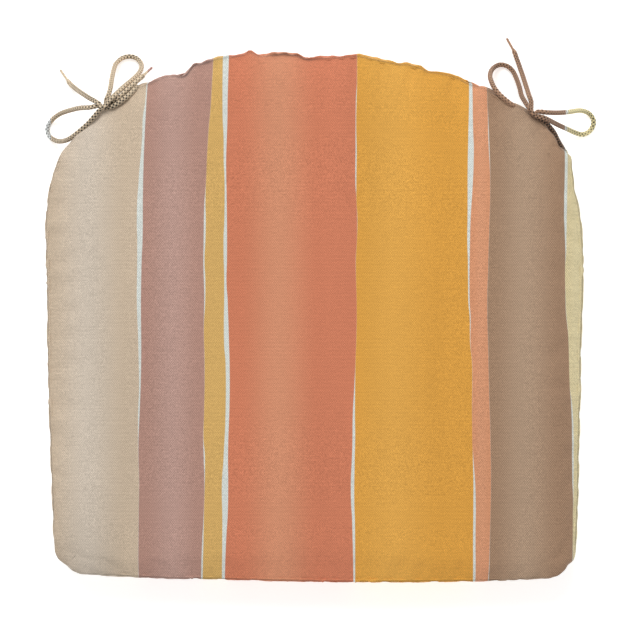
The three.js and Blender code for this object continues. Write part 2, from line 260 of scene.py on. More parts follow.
EDGE_REACH = 230
EDGE_SWING = 10                  # an edge stays this close to its middle line
BARE_CLOTH = srgb(214, 219, 213)

# (colour at the edges, colour in the middle, x of the middle, half the width)
BEIGE = (srgb(203, 183, 159), srgb(211, 197, 180), -192, 34)
MAUVE = (srgb(179, 139, 125), srgb(188, 152, 140), -120, 24)
MUSTARD = (srgb(213, 172, 102), srgb(213, 172, 102), -84, 8)
CORAL = (srgb(209, 127, 95), srgb(215, 146, 112), -30, 34)
YELLOW = (srgb(221, 160, 68), srgb(226, 168, 78), 66, 42)
SALMON = (srgb(215, 150, 112), srgb(217, 154, 117), 141, 8)
BROWN = (srgb(164, 132, 106), srgb(178, 150, 125), 178, 30)
PALE = (srgb(219, 203, 158), srgb(221, 207, 165), 222, 12)

# (middle line, left edge, right edge, next stripe), each edge as (y, x from the middle line).
STRIPE_EDGES = [
    (-146.3, [(230, 5), (184, 3.6), (167, 1.4), (150, 0.8), (116, -1.9), (82, -3.5), (65, -3.1),
     (14, -3.5), (-20, -2.4), (-60, -1.7), (-80, -2.4), (-110, -2.5), (-140, -1.6), (-172, -2.2),
     (-230, -2.7)],
     [(230, 6.2), (184, 4.6), (150, 2.9), (99, 1.6), (65, 1.4), (48, 0.6), (14, 0), (-40, 0.1),
     (-60, -0.4), (-80, -1.1), (-110, -2.2), (-140, -1.5), (-172, -2.1), (-230, -2.4)], MAUVE),
    (-89.8, [(230, 4.6), (184, 2.6), (150, 0), (120, -1.3), (90, -3.2), (65, -3.6), (48, -3.9),
     (20, -3.2), (-10, -3.6), (-40, -2.9), (-80, -3.3), (-100, -4), (-120, -3.5), (-140, -2.9),
     (-172, -3.9), (-190, -4.9), (-230, -6.2)],
     [(230, 4.6), (184, 2.6), (150, 0), (120, -1.4), (99, -2.1), (82, -1.8), (65, -2.1), (48, -2.9),
     (31, -2.2), (14, -2.4), (-10, -3.5), (-40, -2.8), (-80, -3.3), (-100, -3.8), (-120, -2.5),
     (-172, -3.5), (-190, -3.8), (-230, -5)], MUSTARD),
    (-75.3, [(230, -2), (170, -2.1), (150, -1.3), (133, -1.2), (112, -0.4), (82, -0.8), (65, -1.4),
     (31, -0.8), (-20, -0.9), (-40, 0.4), (-70, 0.6), (-120, -1.4), (-145, -2.8), (-172, -2.4),
     (-230, -3.2)],
     [(230, 3.2), (184, 2.1), (165, 1.9), (148, 1.3), (133, 0.9), (99, 1.3), (48, 1.5), (31, 1.1),
     (14, 2.1), (-20, 3.3), (-40, 3.8), (-70, 3.8), (-110, 2.5), (-156, 2.5), (-190, 0.7),
     (-230, -0.8)], CORAL),
    (34, [(230, 1.8), (200, 1.9), (185, 1), (140, 0.6), (116, 0.5), (99, 1.4), (82, 1.9), (65, 1.8),
     (48, 0.8), (31, 1.1), (14, 1.7), (-20, 1.2), (-37, 0.6), (-60, -0.5), (-80, -1.6), (-110, -2),
     (-148, -3.3), (-172, -2.2), (-230, -1)],
     [(230, 1.9), (200, 2), (185, 1.6), (167, 1.2), (140, 1.6), (116, 1.4), (99, 1.4), (82, 2.1),
     (65, 1.8), (48, 0.9), (31, 1.1), (14, 1.6), (-20, 1.2), (-37, 0.6), (-60, 0.3), (-80, 0.1),
     (-100, 0.4), (-120, 0), (-156, -0.4), (-172, 0.1), (-190, 0.3), (-230, 0.4)], YELLOW),
    (131.7, [(230, -0.5), (184, -1.1), (150, -2), (110, -2.5), (82, -2.5), (65, -2.8), (48, -2.3),
     (14, -1.9), (-3, -0.6), (-20, -0.5), (-40, 1.4), (-80, 1.3), (-120, 2), (-140, 2.4),
     (-172, 2.3), (-190, 2.1), (-230, 2.6)],
     [(230, 2.6), (190, 1.9), (160, 2.1), (140, 2.7), (110, 1.7), (82, 0), (60, -0.6), (31, -1),
     (14, -0.9), (-3, 0.1), (-20, -0.2), (-40, 1.5), (-80, 1.3), (-105, 1.5), (-120, 2.5),
     (-156, 4.4), (-190, 4.2), (-230, 4.6)], SALMON),
    (147.6, [(230, -2), (184, -1.4), (150, -0.8), (108, 0.8), (75, -0.1), (40, -1), (14, -1.8),
     (-30, -0.9), (-71, 0), (-97, 0.8), (-140, 1.4), (-175, 0.8), (-230, -1)],
     [(230, -2), (184, -1.4), (150, -0.2), (108, 0.8), (75, -0.1), (40, -1), (14, -1.8), (-30, -0.9),
     (-71, 0), (-97, 0.8), (-140, 1.4), (-175, 0.8), (-230, -0.4)], BROWN),
    (214.4, [(230, -3), (150, -2.6), (120, -2.9), (90, -3.6), (60, -2.6), (40, -2.5), (14, -2.4),
     (-20, 0.4), (-54, 1.3), (-88, 3.2), (-130, 3.5), (-156, 4.2), (-230, 3.4)],
     [(230, -1), (150, -0.2), (120, -0.5), (90, -1.2), (60, -1.6), (40, -2.5), (14, -2.2),
     (-20, 0.4), (-54, 1.2), (-88, 4.5), (-130, 4.8), (-175, 4.2), (-230, 4.6)], PALE),
]
EDGE_SOFTNESS = 0.45             # width over which one colour gives way to the next
EDGE_TREMBLE = 0.5


def stripe_colour(shader, stripe):
    """A stripe's colour, washed lighter along its middle."""
    edge, middle, centre, half = stripe
    away = shader.math("ABSOLUTE", shader.math("SUBTRACT", shader.x, centre * MM))
    wash = shader.between(away, 0.0, half * MM, 1.0, 0.0, smooth=True)
    return shader.mix(wash, edge, middle)


def add_stripes(shader):
    along = shader.between(shader.y, -EDGE_REACH * MM, EDGE_REACH * MM)
    tremble = shader.math("SUBTRACT", shader.noise(90, (1, 0.35, 1), 3), 0.5)
    across = shader.math("MULTIPLY_ADD", tremble, EDGE_TREMBLE * MM, shader.x)

    def past(middle, edge):
        points = [((y + EDGE_REACH) / (2 * EDGE_REACH), 0.5 + x / (2 * EDGE_SWING))
                  for y, x in reversed(edge)]
        line = shader.curve(along, points)
        place = shader.math("MULTIPLY_ADD", line, 2 * EDGE_SWING * MM, (middle - EDGE_SWING) * MM)
        gone = shader.math("SUBTRACT", across, place)
        return shader.math("MULTIPLY_ADD", gone, 1 / (EDGE_SOFTNESS * MM), 0.5, clamp=True)

    shader.colour = stripe_colour(shader, BEIGE)
    for middle, left, right, stripe in STRIPE_EDGES:
        shader.colour = shader.mix(past(middle, left), shader.colour, BARE_CLOTH)
        shader.colour = shader.mix(past(middle, right), shader.colour, stripe_colour(shader, stripe))


YARNS = (0.924, 1.134)           # distance between two warp yarns and between two weft yarns
RIB = 3.47                       # distance between two thicker weft yarns
WEAVE_DEPTH = 0.12
FLAT_FACE = 0.6                  # a face tilted less than this is woven along x and y
BOLD_WEAVE = [(-146, -90, 0.4), (148, 214, 0.9)]    # (from x, to x, how much stronger)
FRONT_CORNER_PAINTED_SHADE = 0.13        # painted shade: how much darker the front left corner is, where the top curves down
# painted shade: the colour deepest in the seam's crease is darkened to this share
CREASE_SHADE = 0.45


def plain_weave(shader):
    """(over and under, height from 0 to 1, thicker weft yarns) of a weave that follows each face."""
    normal = shader.node("ShaderNodeNewGeometry").outputs["Normal"]
    normal = shader.node("ShaderNodeSeparateXYZ", Vector=normal)
    nx, ny, nz = (shader.math("ABSOLUTE", socket) for socket in normal.outputs)
    flat = shader.math("GREATER_THAN", nz, FLAT_FACE)
    sideways = shader.math("GREATER_THAN", nx, ny)
    u = shader.choose(flat, shader.choose(sideways, shader.x, shader.y), shader.x)
    v = shader.choose(flat, shader.z, shader.y)
    waves = [shader.math("SINE", shader.math("MULTIPLY", way, math.pi / (yarn * MM)))
             for way, yarn in zip((u, v), YARNS)]
    over = shader.math("MULTIPLY", *waves)
    height = shader.math("POWER", shader.math("ABSOLUTE", over), 0.6)
    rib = shader.math("SINE", shader.math("MULTIPLY", v, 2 * math.pi / (RIB * MM)))
    return over, height, rib


def striped_cloth():
    shader = Shader("striped_cloth", 0.88, None, Specular_IOR_Level=0.22, Sheen_Weight=0.12)
    over, height, rib = plain_weave(shader)
    add_stripes(shader)
    wash = shader.noise(16, (1.6, 0.22, 1), 4)
    shader.vary(wash, 0.955, 1.035)
    slub = shader.noise(620, (0.2, 1, 1), 2)
    shader.vary(slub, 0.965, 1.03)
    fleck = shader.noise(1700, detail=1)
    shader.vary(fleck, 0.725, 1.245)
    bold = 1.0
    for start, end, extra in BOLD_WEAVE:
        inside = shader.math("SUBTRACT", shader.between(shader.x, start * MM, (start + 1) * MM),
                             shader.between(shader.x, (end - 1) * MM, end * MM))
        bold = shader.math("MULTIPLY_ADD", inside, extra, bold)
    shader.shade(shader.math("MULTIPLY_ADD", shader.math("MULTIPLY", over, bold), 0.16, 0.995))
    shader.shade(shader.math("MULTIPLY_ADD", rib, 0.02, 1.0))
    # Painted shade in the weave's hollows, where the yarns dip.
    shader.vary(height, 0.93, 1.0, 0.0, 0.5)
    # Painted shade towards the front left corner, where the top curves down away from the light.
    front = shader.between(shader.y, -225 * MM, -120 * MM, FRONT_CORNER_PAINTED_SHADE, 0.0, smooth=True)
    left = shader.between(shader.x, -175 * MM, -155 * MM, 1.0, 0.0)
    shader.shade(shader.math("SUBTRACT", 1.0, shader.math("MULTIPLY", front, left)))
    # Painted shade in the seam's crease.
    shader.vary(shader.attribute("painted_crease_shade"), 1.0, CREASE_SHADE, 0.0, 1.0)
    shader.bump(height, 0.5, WEAVE_DEPTH)
    return shader.finish()


STRIPED = striped_cloth()

# ---- Tie cords ----
# Each back corner has one braided cord, caught in the upper seam, so two halves of it are free. One
# half passes straight through the knot between its loop and its tail ("under"), and the other crosses
# over it.

CORD = 4
CORD_RADIUS = CORD / 2
BRAID_CELLS = 3                  # crossings of the braid round the cord
BRAID_PITCH = 3.3                # length of one crossing along the cord
BRAID_RELIEF = 0.36
MEAN_BRAID = 0.62                # the braid's height at the cord's nominal radius
SMOOTH_BRAID = 0.7               # the height that a flattened braid is coloured as
CORD_SIDES = 48
CORD_STEP = 0.3
KNOT_REACH = 6                   # the cord is squeezed this close to its knot
KNOT_SQUEEZE = 0.16
TIGHT_REACH = 18                 # the braid is pulled flatter this close to the seam
TIGHT_BRAID = 0.4                # the share of its relief that is left at the seam
TIP_RADIUS = 1
TIP_NECK = 3.6                   # length over which a cord narrows to its sealed tip
TIP_ROUND = 0.7
TIP_RINGS = 40


def smooth_route(points, step):
    """Points a step apart on a curve through the given ones, and the painted shade at each of them."""
    points = np.array([(*point, 0)[:4] for point in points], float)
    padded = np.vstack([2 * points[0] - points[1], points, 2 * points[-1] - points[-2]])
    line = []
    for a, b, c, d in zip(padded, padded[1:], padded[2:], padded[3:]):
        t = np.linspace(0, 1, 24, endpoint=False)[:, None]
        line.append(0.5 * (2 * b + (c - a) * t + (2 * a - 5 * b + 4 * c - d) * t ** 2
                           + (3 * b - a - 3 * c + d) * t ** 3))
    line = np.vstack([*line, points[-1:]])
    done = distance_along(line[:, :3])
    line = resampled(np.linspace(0, done[-1], round(done[-1] / step) + 1), done, line)
    return line[:, :3], np.clip(line[:, 3], 0, 1)


def braid_height(around, along):
    """At an angle round the cord and a distance along it: how high the braid stands, from 0 to 1, and
    which of its two directions is on top."""
    turned, run = BRAID_CELLS * around / (2 * math.pi), along / BRAID_PITCH
    first, second = turned + run, turned - run
    upper = (np.floor(first) + np.floor(second)) % 2 == 0
    across = np.where(upper, first, second) % 1 - 0.5
    down = np.where(upper, second, first) % 1 - 0.5
    strand = np.clip(1 - (2 * across) ** 2, 0, 1) ** 0.35 * (0.78 + 0.22 * np.cos(math.pi * down))
    hole = (0.5 + 0.5 * np.cos(2 * math.pi * first)) * (0.5 + 0.5 * np.cos(2 * math.pi * second))
    return strand * (1 - np.minimum(1.5 * hole, 1)), upper


def tube(name, line, radii, reliefs, painted_shades, material, start_along=0.0):
    """A closed braided tube along a line, with what its material needs as point attributes."""
    along = start_along + distance_along(line)
    height, upper = braid_height(full_turn(CORD_SIDES)[None, :], along[:, None])
    reach = radii[:, None] + reliefs[:, None] * (height - MEAN_BRAID)
    rings = line[:, None] + reach[..., None] * unit_rings(line, CORD_SIDES)
    obj = add_tubes(name, [rings], material)
    raised = (reliefs / BRAID_RELIEF)[:, None]
    shown = height * raised + SMOOTH_BRAID * (1 - raised)
    point_attribute(obj, "braid", shown.ravel())
    point_attribute(obj, "strand", upper.ravel())
    point_attribute(obj, "shade", np.repeat(painted_shades, CORD_SIDES))
    return obj


DYE_SOFTNESS = 0.9
# (x where the colour starts, colour of the raised strands), from left to right.
LEFT_DYE = [(-260, srgb(204, 207, 206)), (-226.8, srgb(212, 192, 164)), (-141.3, srgb(176, 132, 122))]
RIGHT_DYE = [(100, srgb(168, 132, 106)), (214, srgb(221, 222, 216)), (216.4, srgb(226, 214, 164))]


def tie_material(name, dyes):
    shader = Shader(name, 0.75, dyes[0][1], Specular_IOR_Level=0.3, Sheen_Weight=0.15)
    wobble = shader.math("MULTIPLY_ADD", shader.noise(700), 1.4 * MM, shader.x)
    for start, dye in dyes[1:]:
        gone = shader.math("SUBTRACT", wobble, (start + 0.7) * MM)
        gone = shader.math("MULTIPLY_ADD", gone, 1 / (DYE_SOFTNESS * MM), 0.5, clamp=True)
        shader.colour = shader.mix(gone, shader.colour, dye)
    braid = shader.attribute("braid")
    # The shade attribute is painted shade where the cord lies in shadow, against the pad and in its
    # knot.
    painted_shade = shader.attribute("shade")
    # Painted shade on the strands of one direction, which are of the same yarn as the other's.
    shader.vary(shader.attribute("strand"), 0.84, 1.08, 0.0, 1.0)
    # Painted shade in the braid's hollows, darker where the cord is in painted shade.
    hole = shader.between(painted_shade, 0.0, 0.4, 0.42, 0.06)
    shader.vary(braid, hole, 1.16, 0.1, 0.62)
    # In painted shade the cord is darkened, and only the tops of its strands stay lighter.
    strand_tops = shader.between(braid, 0.6, 0.96, 0.2, 0.85)
    shader.shade(shader.choose(painted_shade, 1.0, strand_tops))
    fibre = shader.noise(2600, detail=2)
    shader.vary(fibre, 0.86, 1.1)
    shader.bump(fibre, 0.35, 0.08)
    return shader.finish()


# Each half is the names of its loop and its tail, and its route: from the seam or from inside the
# knot, round the loop, through or over the knot and along the tail, whose last stretch is the sealed
# tip. Points are (x, y, z) or (x, y, z, how much painted shade the cord gets there, from 0 to 1).
BOWS = {
    "left": {
        "dyes": LEFT_DYE,
        "knot": (-177.6, 177.9, 49),
        "under": ("outer", "rear", [
            (-149.9, 194.9, 42.5, 0.5), (-151.2, 193.6, 45.4, 0.5), (-152.6, 191.9, 47.4, 0.4),
            (-155.8, 188.4, 49.2, 0.3), (-161.6, 183.5, 50.4, 0.5), (-167.5, 179.3, 50.6, 0.7),
            (-172.4, 177.2, 49.4, 0.9), (-176.4, 177, 47, 0.9), (-179.8, 178.1, 47.6, 0.6),
            (-183.1, 178.4, 48.2, 0.4), (-190.9, 177.4, 44.5, 0.3), (-199.3, 177.5, 37, 0.3),
            (-208.1, 176.6, 26, 0.35), (-217.1, 174.9, 14, 0.4), (-223.1, 172.2, 7, 0.2),
            (-227.1, 168.8, 3.4, 0.1), (-229.8, 164.3, 2.2, 0.1), (-230.1, 160.3, 2.2, 0.1),
            (-228.5, 156.1, 2.8), (-224.8, 152.9, 6, 0.3), (-219.2, 150.8, 14, 0.4),
            (-212.9, 150.6, 26, 0.4), (-207.8, 151.6, 37, 0.5), (-202, 154.8, 44, 0.5),
            (-196.7, 158.9, 46.8, 0.6), (-191.4, 163.5, 48.2, 0.7), (-186.6, 168.6, 49.8, 0.7),
            (-181.8, 174.2, 50.6, 0.7), (-178.9, 177, 51, 0.9), (-175.8, 179.3, 49.6, 0.9),
            (-173.2, 180.9, 47.4, 0.7), (-170.6, 182.2, 47.4, 0.6), (-164.9, 185.5, 47.3, 0.3),
            (-158.5, 191.8, 46.5, 0.2), (-151.8, 198.2, 45, 0.1), (-145.7, 203.9, 43),
            (-137.6, 212.1, 38)]),
        "over": ("rear", "outer", [
            (-172.6, 176.6, 45, 0.9), (-174.2, 177.4, 46.6, 0.9), (-176.3, 179.6, 47.4, 0.6),
            (-176, 184, 47.4, 0.4), (-174.3, 188, 45.2, 0.2), (-173.2, 194.7, 38, 0.1),
            (-172.9, 203.7, 26), (-172.2, 212.8, 13), (-170.5, 218.7, 6), (-165.5, 223.4, 2.4, 0.1),
            (-158.9, 224.7, 2.2, 0.4), (-152.9, 222.6, 3.6, 0.3), (-148.8, 217, 10, 0.1),
            (-149.1, 210.1, 22), (-153.1, 203.6, 33), (-160.6, 195.9, 42.8),
            (-166.9, 189.1, 49, 0.1), (-171, 184.9, 51.5, 0.2), (-174.3, 181.2, 52.1, 0.4),
            (-177, 177.8, 53.1, 0.4), (-179.6, 177.4, 52.8, 0.4), (-180.9, 179.4, 51.8, 0.3),
            (-182.4, 180.6, 51.6, 0.3), (-186.2, 182.9, 48, 0.5), (-190.5, 185.4, 43, 0.5),
            (-195.4, 188.8, 34.5, 0.4), (-200.3, 192.3, 25, 0.3), (-204, 195.2, 16, 0.4),
            (-207.2, 197.9, 8.8, 0.2), (-209.6, 200, 5), (-211.6, 202.4, 3.5), (-219.5, 213.5, 2)]),
    },
    "right": {
        "dyes": RIGHT_DYE,
        "knot": (183.66, 172.7, 49),
        "under": ("rear", "side", [
            (170.6, 176.8, 41.5, 0.1), (168.6, 178.4, 44.6, 0.1), (165.9, 180.3, 47.2, 0.1),
            (161.6, 183.6, 47.9, 0.1), (156.7, 188, 47.4), (152.9, 193, 44.8, 0.2),
            (150.8, 198.6, 37, 0.2), (149.9, 204.9, 26, 0.1), (151.3, 210.6, 15, 0.2),
            (154.9, 215.2, 6.5, 0.35), (160.2, 217.6, 2.6, 0.3), (166.3, 216.3, 2.2, 0.3),
            (170.8, 211.8, 5, 0.35), (173.3, 205, 12, 0.2), (175.1, 196.2, 24, 0.2),
            (176, 188, 36, 0.2), (178.3, 181.6, 47, 0.3), (180.5, 176.8, 52.3, 0.2),
            (182.6, 173.4, 50.6, 0.6), (184.8, 171, 47.4, 0.8), (187.6, 169.3, 46.6, 0.9),
            (190.4, 167.9, 45.4, 0.9), (194.2, 165.8, 42.6, 1), (199.3, 161.8, 38, 1),
            (204, 156.8, 32, 1), (207.6, 151.1, 25.5, 1), (211.8, 145.5, 18, 0.9),
            (215.4, 141.4, 12, 0.5), (220.8, 137.3, 4)]),
        "over": ("side", "rear", [
            (184.4, 170.4, 44.8, 0.8), (185.2, 170.2, 46.8, 0.9), (186.2, 171.6, 48.8, 0.5),
            (188.8, 173.4, 49.6, 0.2), (195.6, 173, 47.8, 0.2), (201.8, 173.1, 42.5, 0.2),
            (208, 173.6, 36, 0.2), (215.7, 174.8, 26.5), (221.7, 176.2, 19), (227.8, 177.4, 11.5),
            (233.8, 176.7, 5.5, 0.2), (237.9, 174.3, 2.6, 0.4), (240.5, 169.8, 2.2, 0.5),
            (239.9, 164.4, 2.2, 0.4), (236.4, 159.7, 2.3), (230.9, 157.4, 3, 0.2),
            (224.4, 158.7, 6.5, 0.3), (215.9, 161.5, 16, 0.1), (207.1, 163.9, 30, 0.3),
            (198.6, 166.5, 45.6, 0.3), (193, 168.4, 51.4, 0.3), (187.1, 169.9, 52.4, 0.4),
            (184.4, 171.8, 53.4, 0.3), (183, 174.4, 52.6, 0.2), (183.2, 178, 49.6, 0.2),
            (183.2, 182.8, 46, 0.2), (181.8, 188, 41.8), (179.9, 197.2, 32, 0.1),
            (177.9, 207.5, 19.5, 0.2), (175.5, 217.6, 9, 0.3), (173.9, 223.4, 4.5, 0.3),
            (172.5, 228.3, 2.6), (165.6, 240.6, 2)]),
    },
}


def tie_half(side, half, knot, material):
    loop, tail, route = half
    line, painted_shades = smooth_route(route[:-1], CORD_STEP)
    near = np.linalg.norm(line - np.array(knot), axis=1)
    radii = CORD_RADIUS * (1 - KNOT_SQUEEZE * np.clip(1.5 - near / KNOT_REACH, 0, 1))
    length = float(distance_along(line)[-1])
    gone = np.linspace(0, length, len(line))
    loose = np.clip(gone / TIGHT_REACH, 0, 1)
    reliefs = BRAID_RELIEF * (TIGHT_BRAID + (1 - TIGHT_BRAID) * loose)
    cord = tube(f"tie_cord_{side}_{loop}", line, radii, reliefs, painted_shades, material)

    first, last = (np.array(point[:3], float) for point in route[-2:])
    tip_line = first + (last - first) * np.linspace(0, 1, TIP_RINGS)[:, None]
    gone = distance_along(tip_line)
    neck = eased(np.clip(gone / TIP_NECK, 0, 1))
    radii = CORD_RADIUS + (TIP_RADIUS - CORD_RADIUS) * neck
    radii *= np.sqrt(np.clip((gone[-1] - gone) / TIP_ROUND, 0.05, 1))
    tip = tube(f"tie_end_{side}_{tail}", tip_line, radii, BRAID_RELIEF * (1 - 0.75 * neck),
               np.zeros(TIP_RINGS), material, length)

    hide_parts(f"tie_loop_{side}_{loop}", f"tie_tail_{side}_{tail}")
    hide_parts(f"tie_tip_{side}_{tail}")
    return cord


for side, bow in BOWS.items():
    material = tie_material(f"tie_cord_{side}", bow["dyes"])
    under, over = (tie_half(side, bow[half], bow["knot"], material) for half in ("under", "over"))
    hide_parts(f"tie_knot_{side}")
    if side == "left":
        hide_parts("tie_root_left")

# ---- The cover's plan outline ----

QUARTER = math.pi / 2
PAD_DEPTH = 450
BACK_RADIUS = 412
SHOULDER_RADIUS = 132
SHOULDER_X = 96
CORNER_RADIUS = 24
CORNER_X = 198
FRONT_BOW = 4
BACK_CENTRE_Y = PAD_DEPTH / 2 - BACK_RADIUS
JOIN_ANGLE = math.asin(SHOULDER_X / (BACK_RADIUS - SHOULDER_RADIUS))
SHOULDER_Y = BACK_CENTRE_Y + (BACK_RADIUS - SHOULDER_RADIUS) * math.cos(JOIN_ANGLE)
CORNER_DROP = CORNER_RADIUS + FRONT_BOW
CORNER_Y = CORNER_DROP - PAD_DEPTH / 2
FRONT_RADIUS = (CORNER_X ** 2 + CORNER_DROP ** 2 - CORNER_RADIUS ** 2) / (2 * FRONT_BOW)
FRONT_CENTRE_Y = FRONT_RADIUS - PAD_DEPTH / 2
FRONT_ANGLE = math.asin(CORNER_X / (FRONT_RADIUS - CORNER_RADIUS))
SIDE_RUN = math.hypot(SHOULDER_X - CORNER_X, SHOULDER_Y - CORNER_Y)
SIDE_TAPER = (math.acos((CORNER_RADIUS - SHOULDER_RADIUS) / SIDE_RUN)
              - math.atan2(SHOULDER_Y - CORNER_Y, SHOULDER_X - CORNER_X))


def arc_span(x, y, radius, start, end):
    def at(t):
        angle = start + (end - start) * t
        normal = np.stack([np.cos(angle), np.sin(angle)], -1)
        return np.array([x, y]) + radius * normal, normal
    return at, radius * (end - start)


def line_span(start, end):
    def at(t):
        way = end - start
        normal = np.array([way[1], -way[0]]) / np.hypot(*way)
        return start + way * t[:, None], np.repeat(normal[None], len(t), 0)
    return at, float(np.hypot(*(end - start)))


def halves(x, y, radius, start, end):
    middle = (start + end) / 2
    return arc_span(x, y, radius, start, middle), arc_span(x, y, radius, middle, end)


def start_of(span):
    return span[0](np.zeros(1))[0][0]


def end_of(span):
    return span[0](np.ones(1))[0][0]


def spread(spans, count):
    """Evenly spaced points and outward normals along joined spans, without the last point."""
    wanted = np.arange(count) * sum(length for _, length in spans) / count
    points, normals, start = [], [], 0.0
    for at, length in spans:
        inside = (wanted >= start - 1e-6) & (wanted < start + length - 1e-6)
        point, normal = at((wanted[inside] - start) / length)
        points.append(point)
        normals.append(normal)
        start += length
    return np.vstack(points), np.vstack(normals)


LEFT_CORNER = halves(-CORNER_X, CORNER_Y, CORNER_RADIUS,
                     2 * QUARTER + SIDE_TAPER, 3 * QUARTER - FRONT_ANGLE)
RIGHT_CORNER = halves(CORNER_X, CORNER_Y, CORNER_RADIUS,
                      3 * QUARTER + FRONT_ANGLE, 4 * QUARTER - SIDE_TAPER)
RIGHT_SHOULDER = halves(SHOULDER_X, SHOULDER_Y, SHOULDER_RADIUS, -SIDE_TAPER, QUARTER - JOIN_ANGLE)
LEFT_SHOULDER = halves(-SHOULDER_X, SHOULDER_Y, SHOULDER_RADIUS,
                       QUARTER + JOIN_ANGLE, 2 * QUARTER + SIDE_TAPER)
FRONT_ARC = arc_span(0, FRONT_CENTRE_Y, FRONT_RADIUS,
                     3 * QUARTER - FRONT_ANGLE, 3 * QUARTER + FRONT_ANGLE)
BACK_ARC = arc_span(0, BACK_CENTRE_Y, BACK_RADIUS, QUARTER - JOIN_ANGLE, QUARTER + JOIN_ANGLE)
RIGHT_SIDE = line_span(end_of(RIGHT_CORNER[1]), start_of(RIGHT_SHOULDER[0]))
LEFT_SIDE = line_span(end_of(LEFT_SHOULDER[1]), start_of(LEFT_CORNER[0]))

ACROSS, DEEP, SHOULDER_STEPS = 94, 78, 17
BACK_STEPS = ACROSS - 2 * SHOULDER_STEPS


class Outline:
    """Points round the pad, anticlockwise from the front left corner. The four sides of a grid of
    `across` by `deep` cells join on to them."""

    def __init__(self, fine):
        self.across, self.deep = ACROSS * fine, DEEP * fine
        parts = [
            spread([LEFT_CORNER[1], FRONT_ARC, RIGHT_CORNER[0]], self.across),
            spread([RIGHT_CORNER[1], RIGHT_SIDE, RIGHT_SHOULDER[0]], self.deep),
            spread([RIGHT_SHOULDER[1]], SHOULDER_STEPS * fine),
            spread([BACK_ARC], BACK_STEPS * fine),
            spread([LEFT_SHOULDER[0]], SHOULDER_STEPS * fine),
            spread([LEFT_SHOULDER[1], LEFT_SIDE, LEFT_CORNER[0]], self.deep),
        ]
        self.points, self.normals = (np.vstack(part) for part in zip(*parts))
        self.count = len(self.points)
        self.edge = self.grid_edge()
        self.back_start = self.across + self.deep + SHOULDER_STEPS * fine
        self.back_end = self.back_start + BACK_STEPS * fine
        steps = np.linalg.norm(np.roll(self.points, -1, 0) - self.points, axis=1)
        self.along = np.concatenate([[0], np.cumsum(steps)[:-1]])
        self.length = steps.sum()

    def ring(self, outward, height):
        outward = np.broadcast_to(outward, self.count)
        height = np.broadcast_to(height, self.count)
        return np.column_stack([self.points + outward[:, None] * self.normals, height])

    def sides(self, ring):
        """The ring as the front, right, back and left side of a grid, each with both ends."""
        a, b = self.across, self.deep
        closed = np.vstack([ring, ring[:1]])
        return (closed[:a + 1], closed[a:a + b + 1], closed[a + b:2 * a + b + 1][::-1],
                closed[2 * a + b:][::-1])

    def grid_edge(self):
        """The columns and the rows of the grid that the ring's points are at."""
        a, b = self.across, self.deep
        columns = [*range(a), *[a] * b, *range(a, 0, -1), *[0] * b]
        rows = [*[0] * a, *range(b), *[b] * a, *range(b, 0, -1)]
        return columns, rows

    def fill(self, ring):
        """A grid of points (column, row) inside a ring."""
        front, right, back, left = self.sides(ring)
        u = np.linspace(0, 1, self.across + 1)[:, None, None]
        v = np.linspace(0, 1, self.deep + 1)[None, :, None]
        grid = ((1 - v) * front[:, None] + v * back[:, None] + (1 - u) * left[None] + u * right[None]
                - (1 - u) * (1 - v) * front[0] - u * (1 - v) * front[-1]
                - (1 - u) * v * back[0] - u * v * back[-1])
        for _ in range(80):
            grid[1:-1, 1:-1] = (grid[:-2, 1:-1] + grid[2:, 1:-1]
                                + grid[1:-1, :-2] + grid[1:-1, 2:]) / 4
        return grid


# Where the finished edge stands away from the nominal outline: (x, y, outwards). The back is gathered
# along its zip, so it draws in at x -113, -46, -3, 98 and 132, and swells between them.
WANDER = [
    (0, 225, -3), (13, 225, -1.8), (24, 224, -0.9), (36, 223.4, 1.5), (50, 222, 0), (62, 220, -0.9),
    (74, 218, -1.4), (79, 217, 0.3), (89, 215, -0.5), (95, 213.6, -1.6), (98, 213.2, -2.8),
    (103, 212, -1.9), (112, 210, -0.7), (124, 206, -0.4), (132, 203.4, -2.8), (140.5, 200.3, -2),
    (148, 197.5, -2), (168, 186.5, -3.2), (179, 178.5, -0.2), (188.5, 169.5, 1.2), (197, 161.4, 1.6),
    (203, 154.4, 0.9), (209, 144, -0.4), (213.4, 136.6, 2.6), (214.8, 134, 4.2), (217.3, 128.5, 1.7),
    (219, 124, 0.3), (223.7, 109.5, -2.9), (227.6, 86, -1.7), (227.4, 50, 1.2), (226.5, 10, 1.4),
    (225.6, -32, 0.7), (225, -53, 1.2), (223.8, -104, 0.8), (222.9, -150, 1.3), (222, -192, 0.2),
    (220, -206, -0.3), (217, -211.6, -3.2), (213, -216, -1.4), (198, -221, 0.9), (160, -222.4, 1.5),
    (94, -224, 0.9), (0, -225, -0.1), (-60, -224.6, -1.2), (-100, -224, -1.8), (-118, -223.6, -1),
    (-165, -222.2, -2), (-194, -221, -2.5), (-213, -216, -6.2), (-221.6, -200, -1.6),
    (-222.3, -180, -0.5), (-224.2, -96, 0.7), (-225.6, -41, 1.2), (-226.7, 15, 0.5),
    (-227.4, 60, 0.5), (-226.8, 93, 0.5), (-213, 137, 2.7), (-205, 150.5, 1), (-151, 196, 1),
    (-138, 201.2, 1.2), (-131.8, 203.3, 1.7), (-120, 207.2, 0.5), (-113, 209.4, -3.4),
    (-109.5, 210.4, -1.8), (-103, 212, 4), (-86.5, 215.8, 5), (-78, 217.5, 5.5), (-65, 220, 4.8),
    (-52, 221.7, 6.2), (-46.5, 222.4, 0.8), (-40, 223, 2), (-27, 224.1, 2.2), (-15, 224.7, 0.1),
    (-5, 225, -4),
]
WANDER_SMOOTHING = 1.6


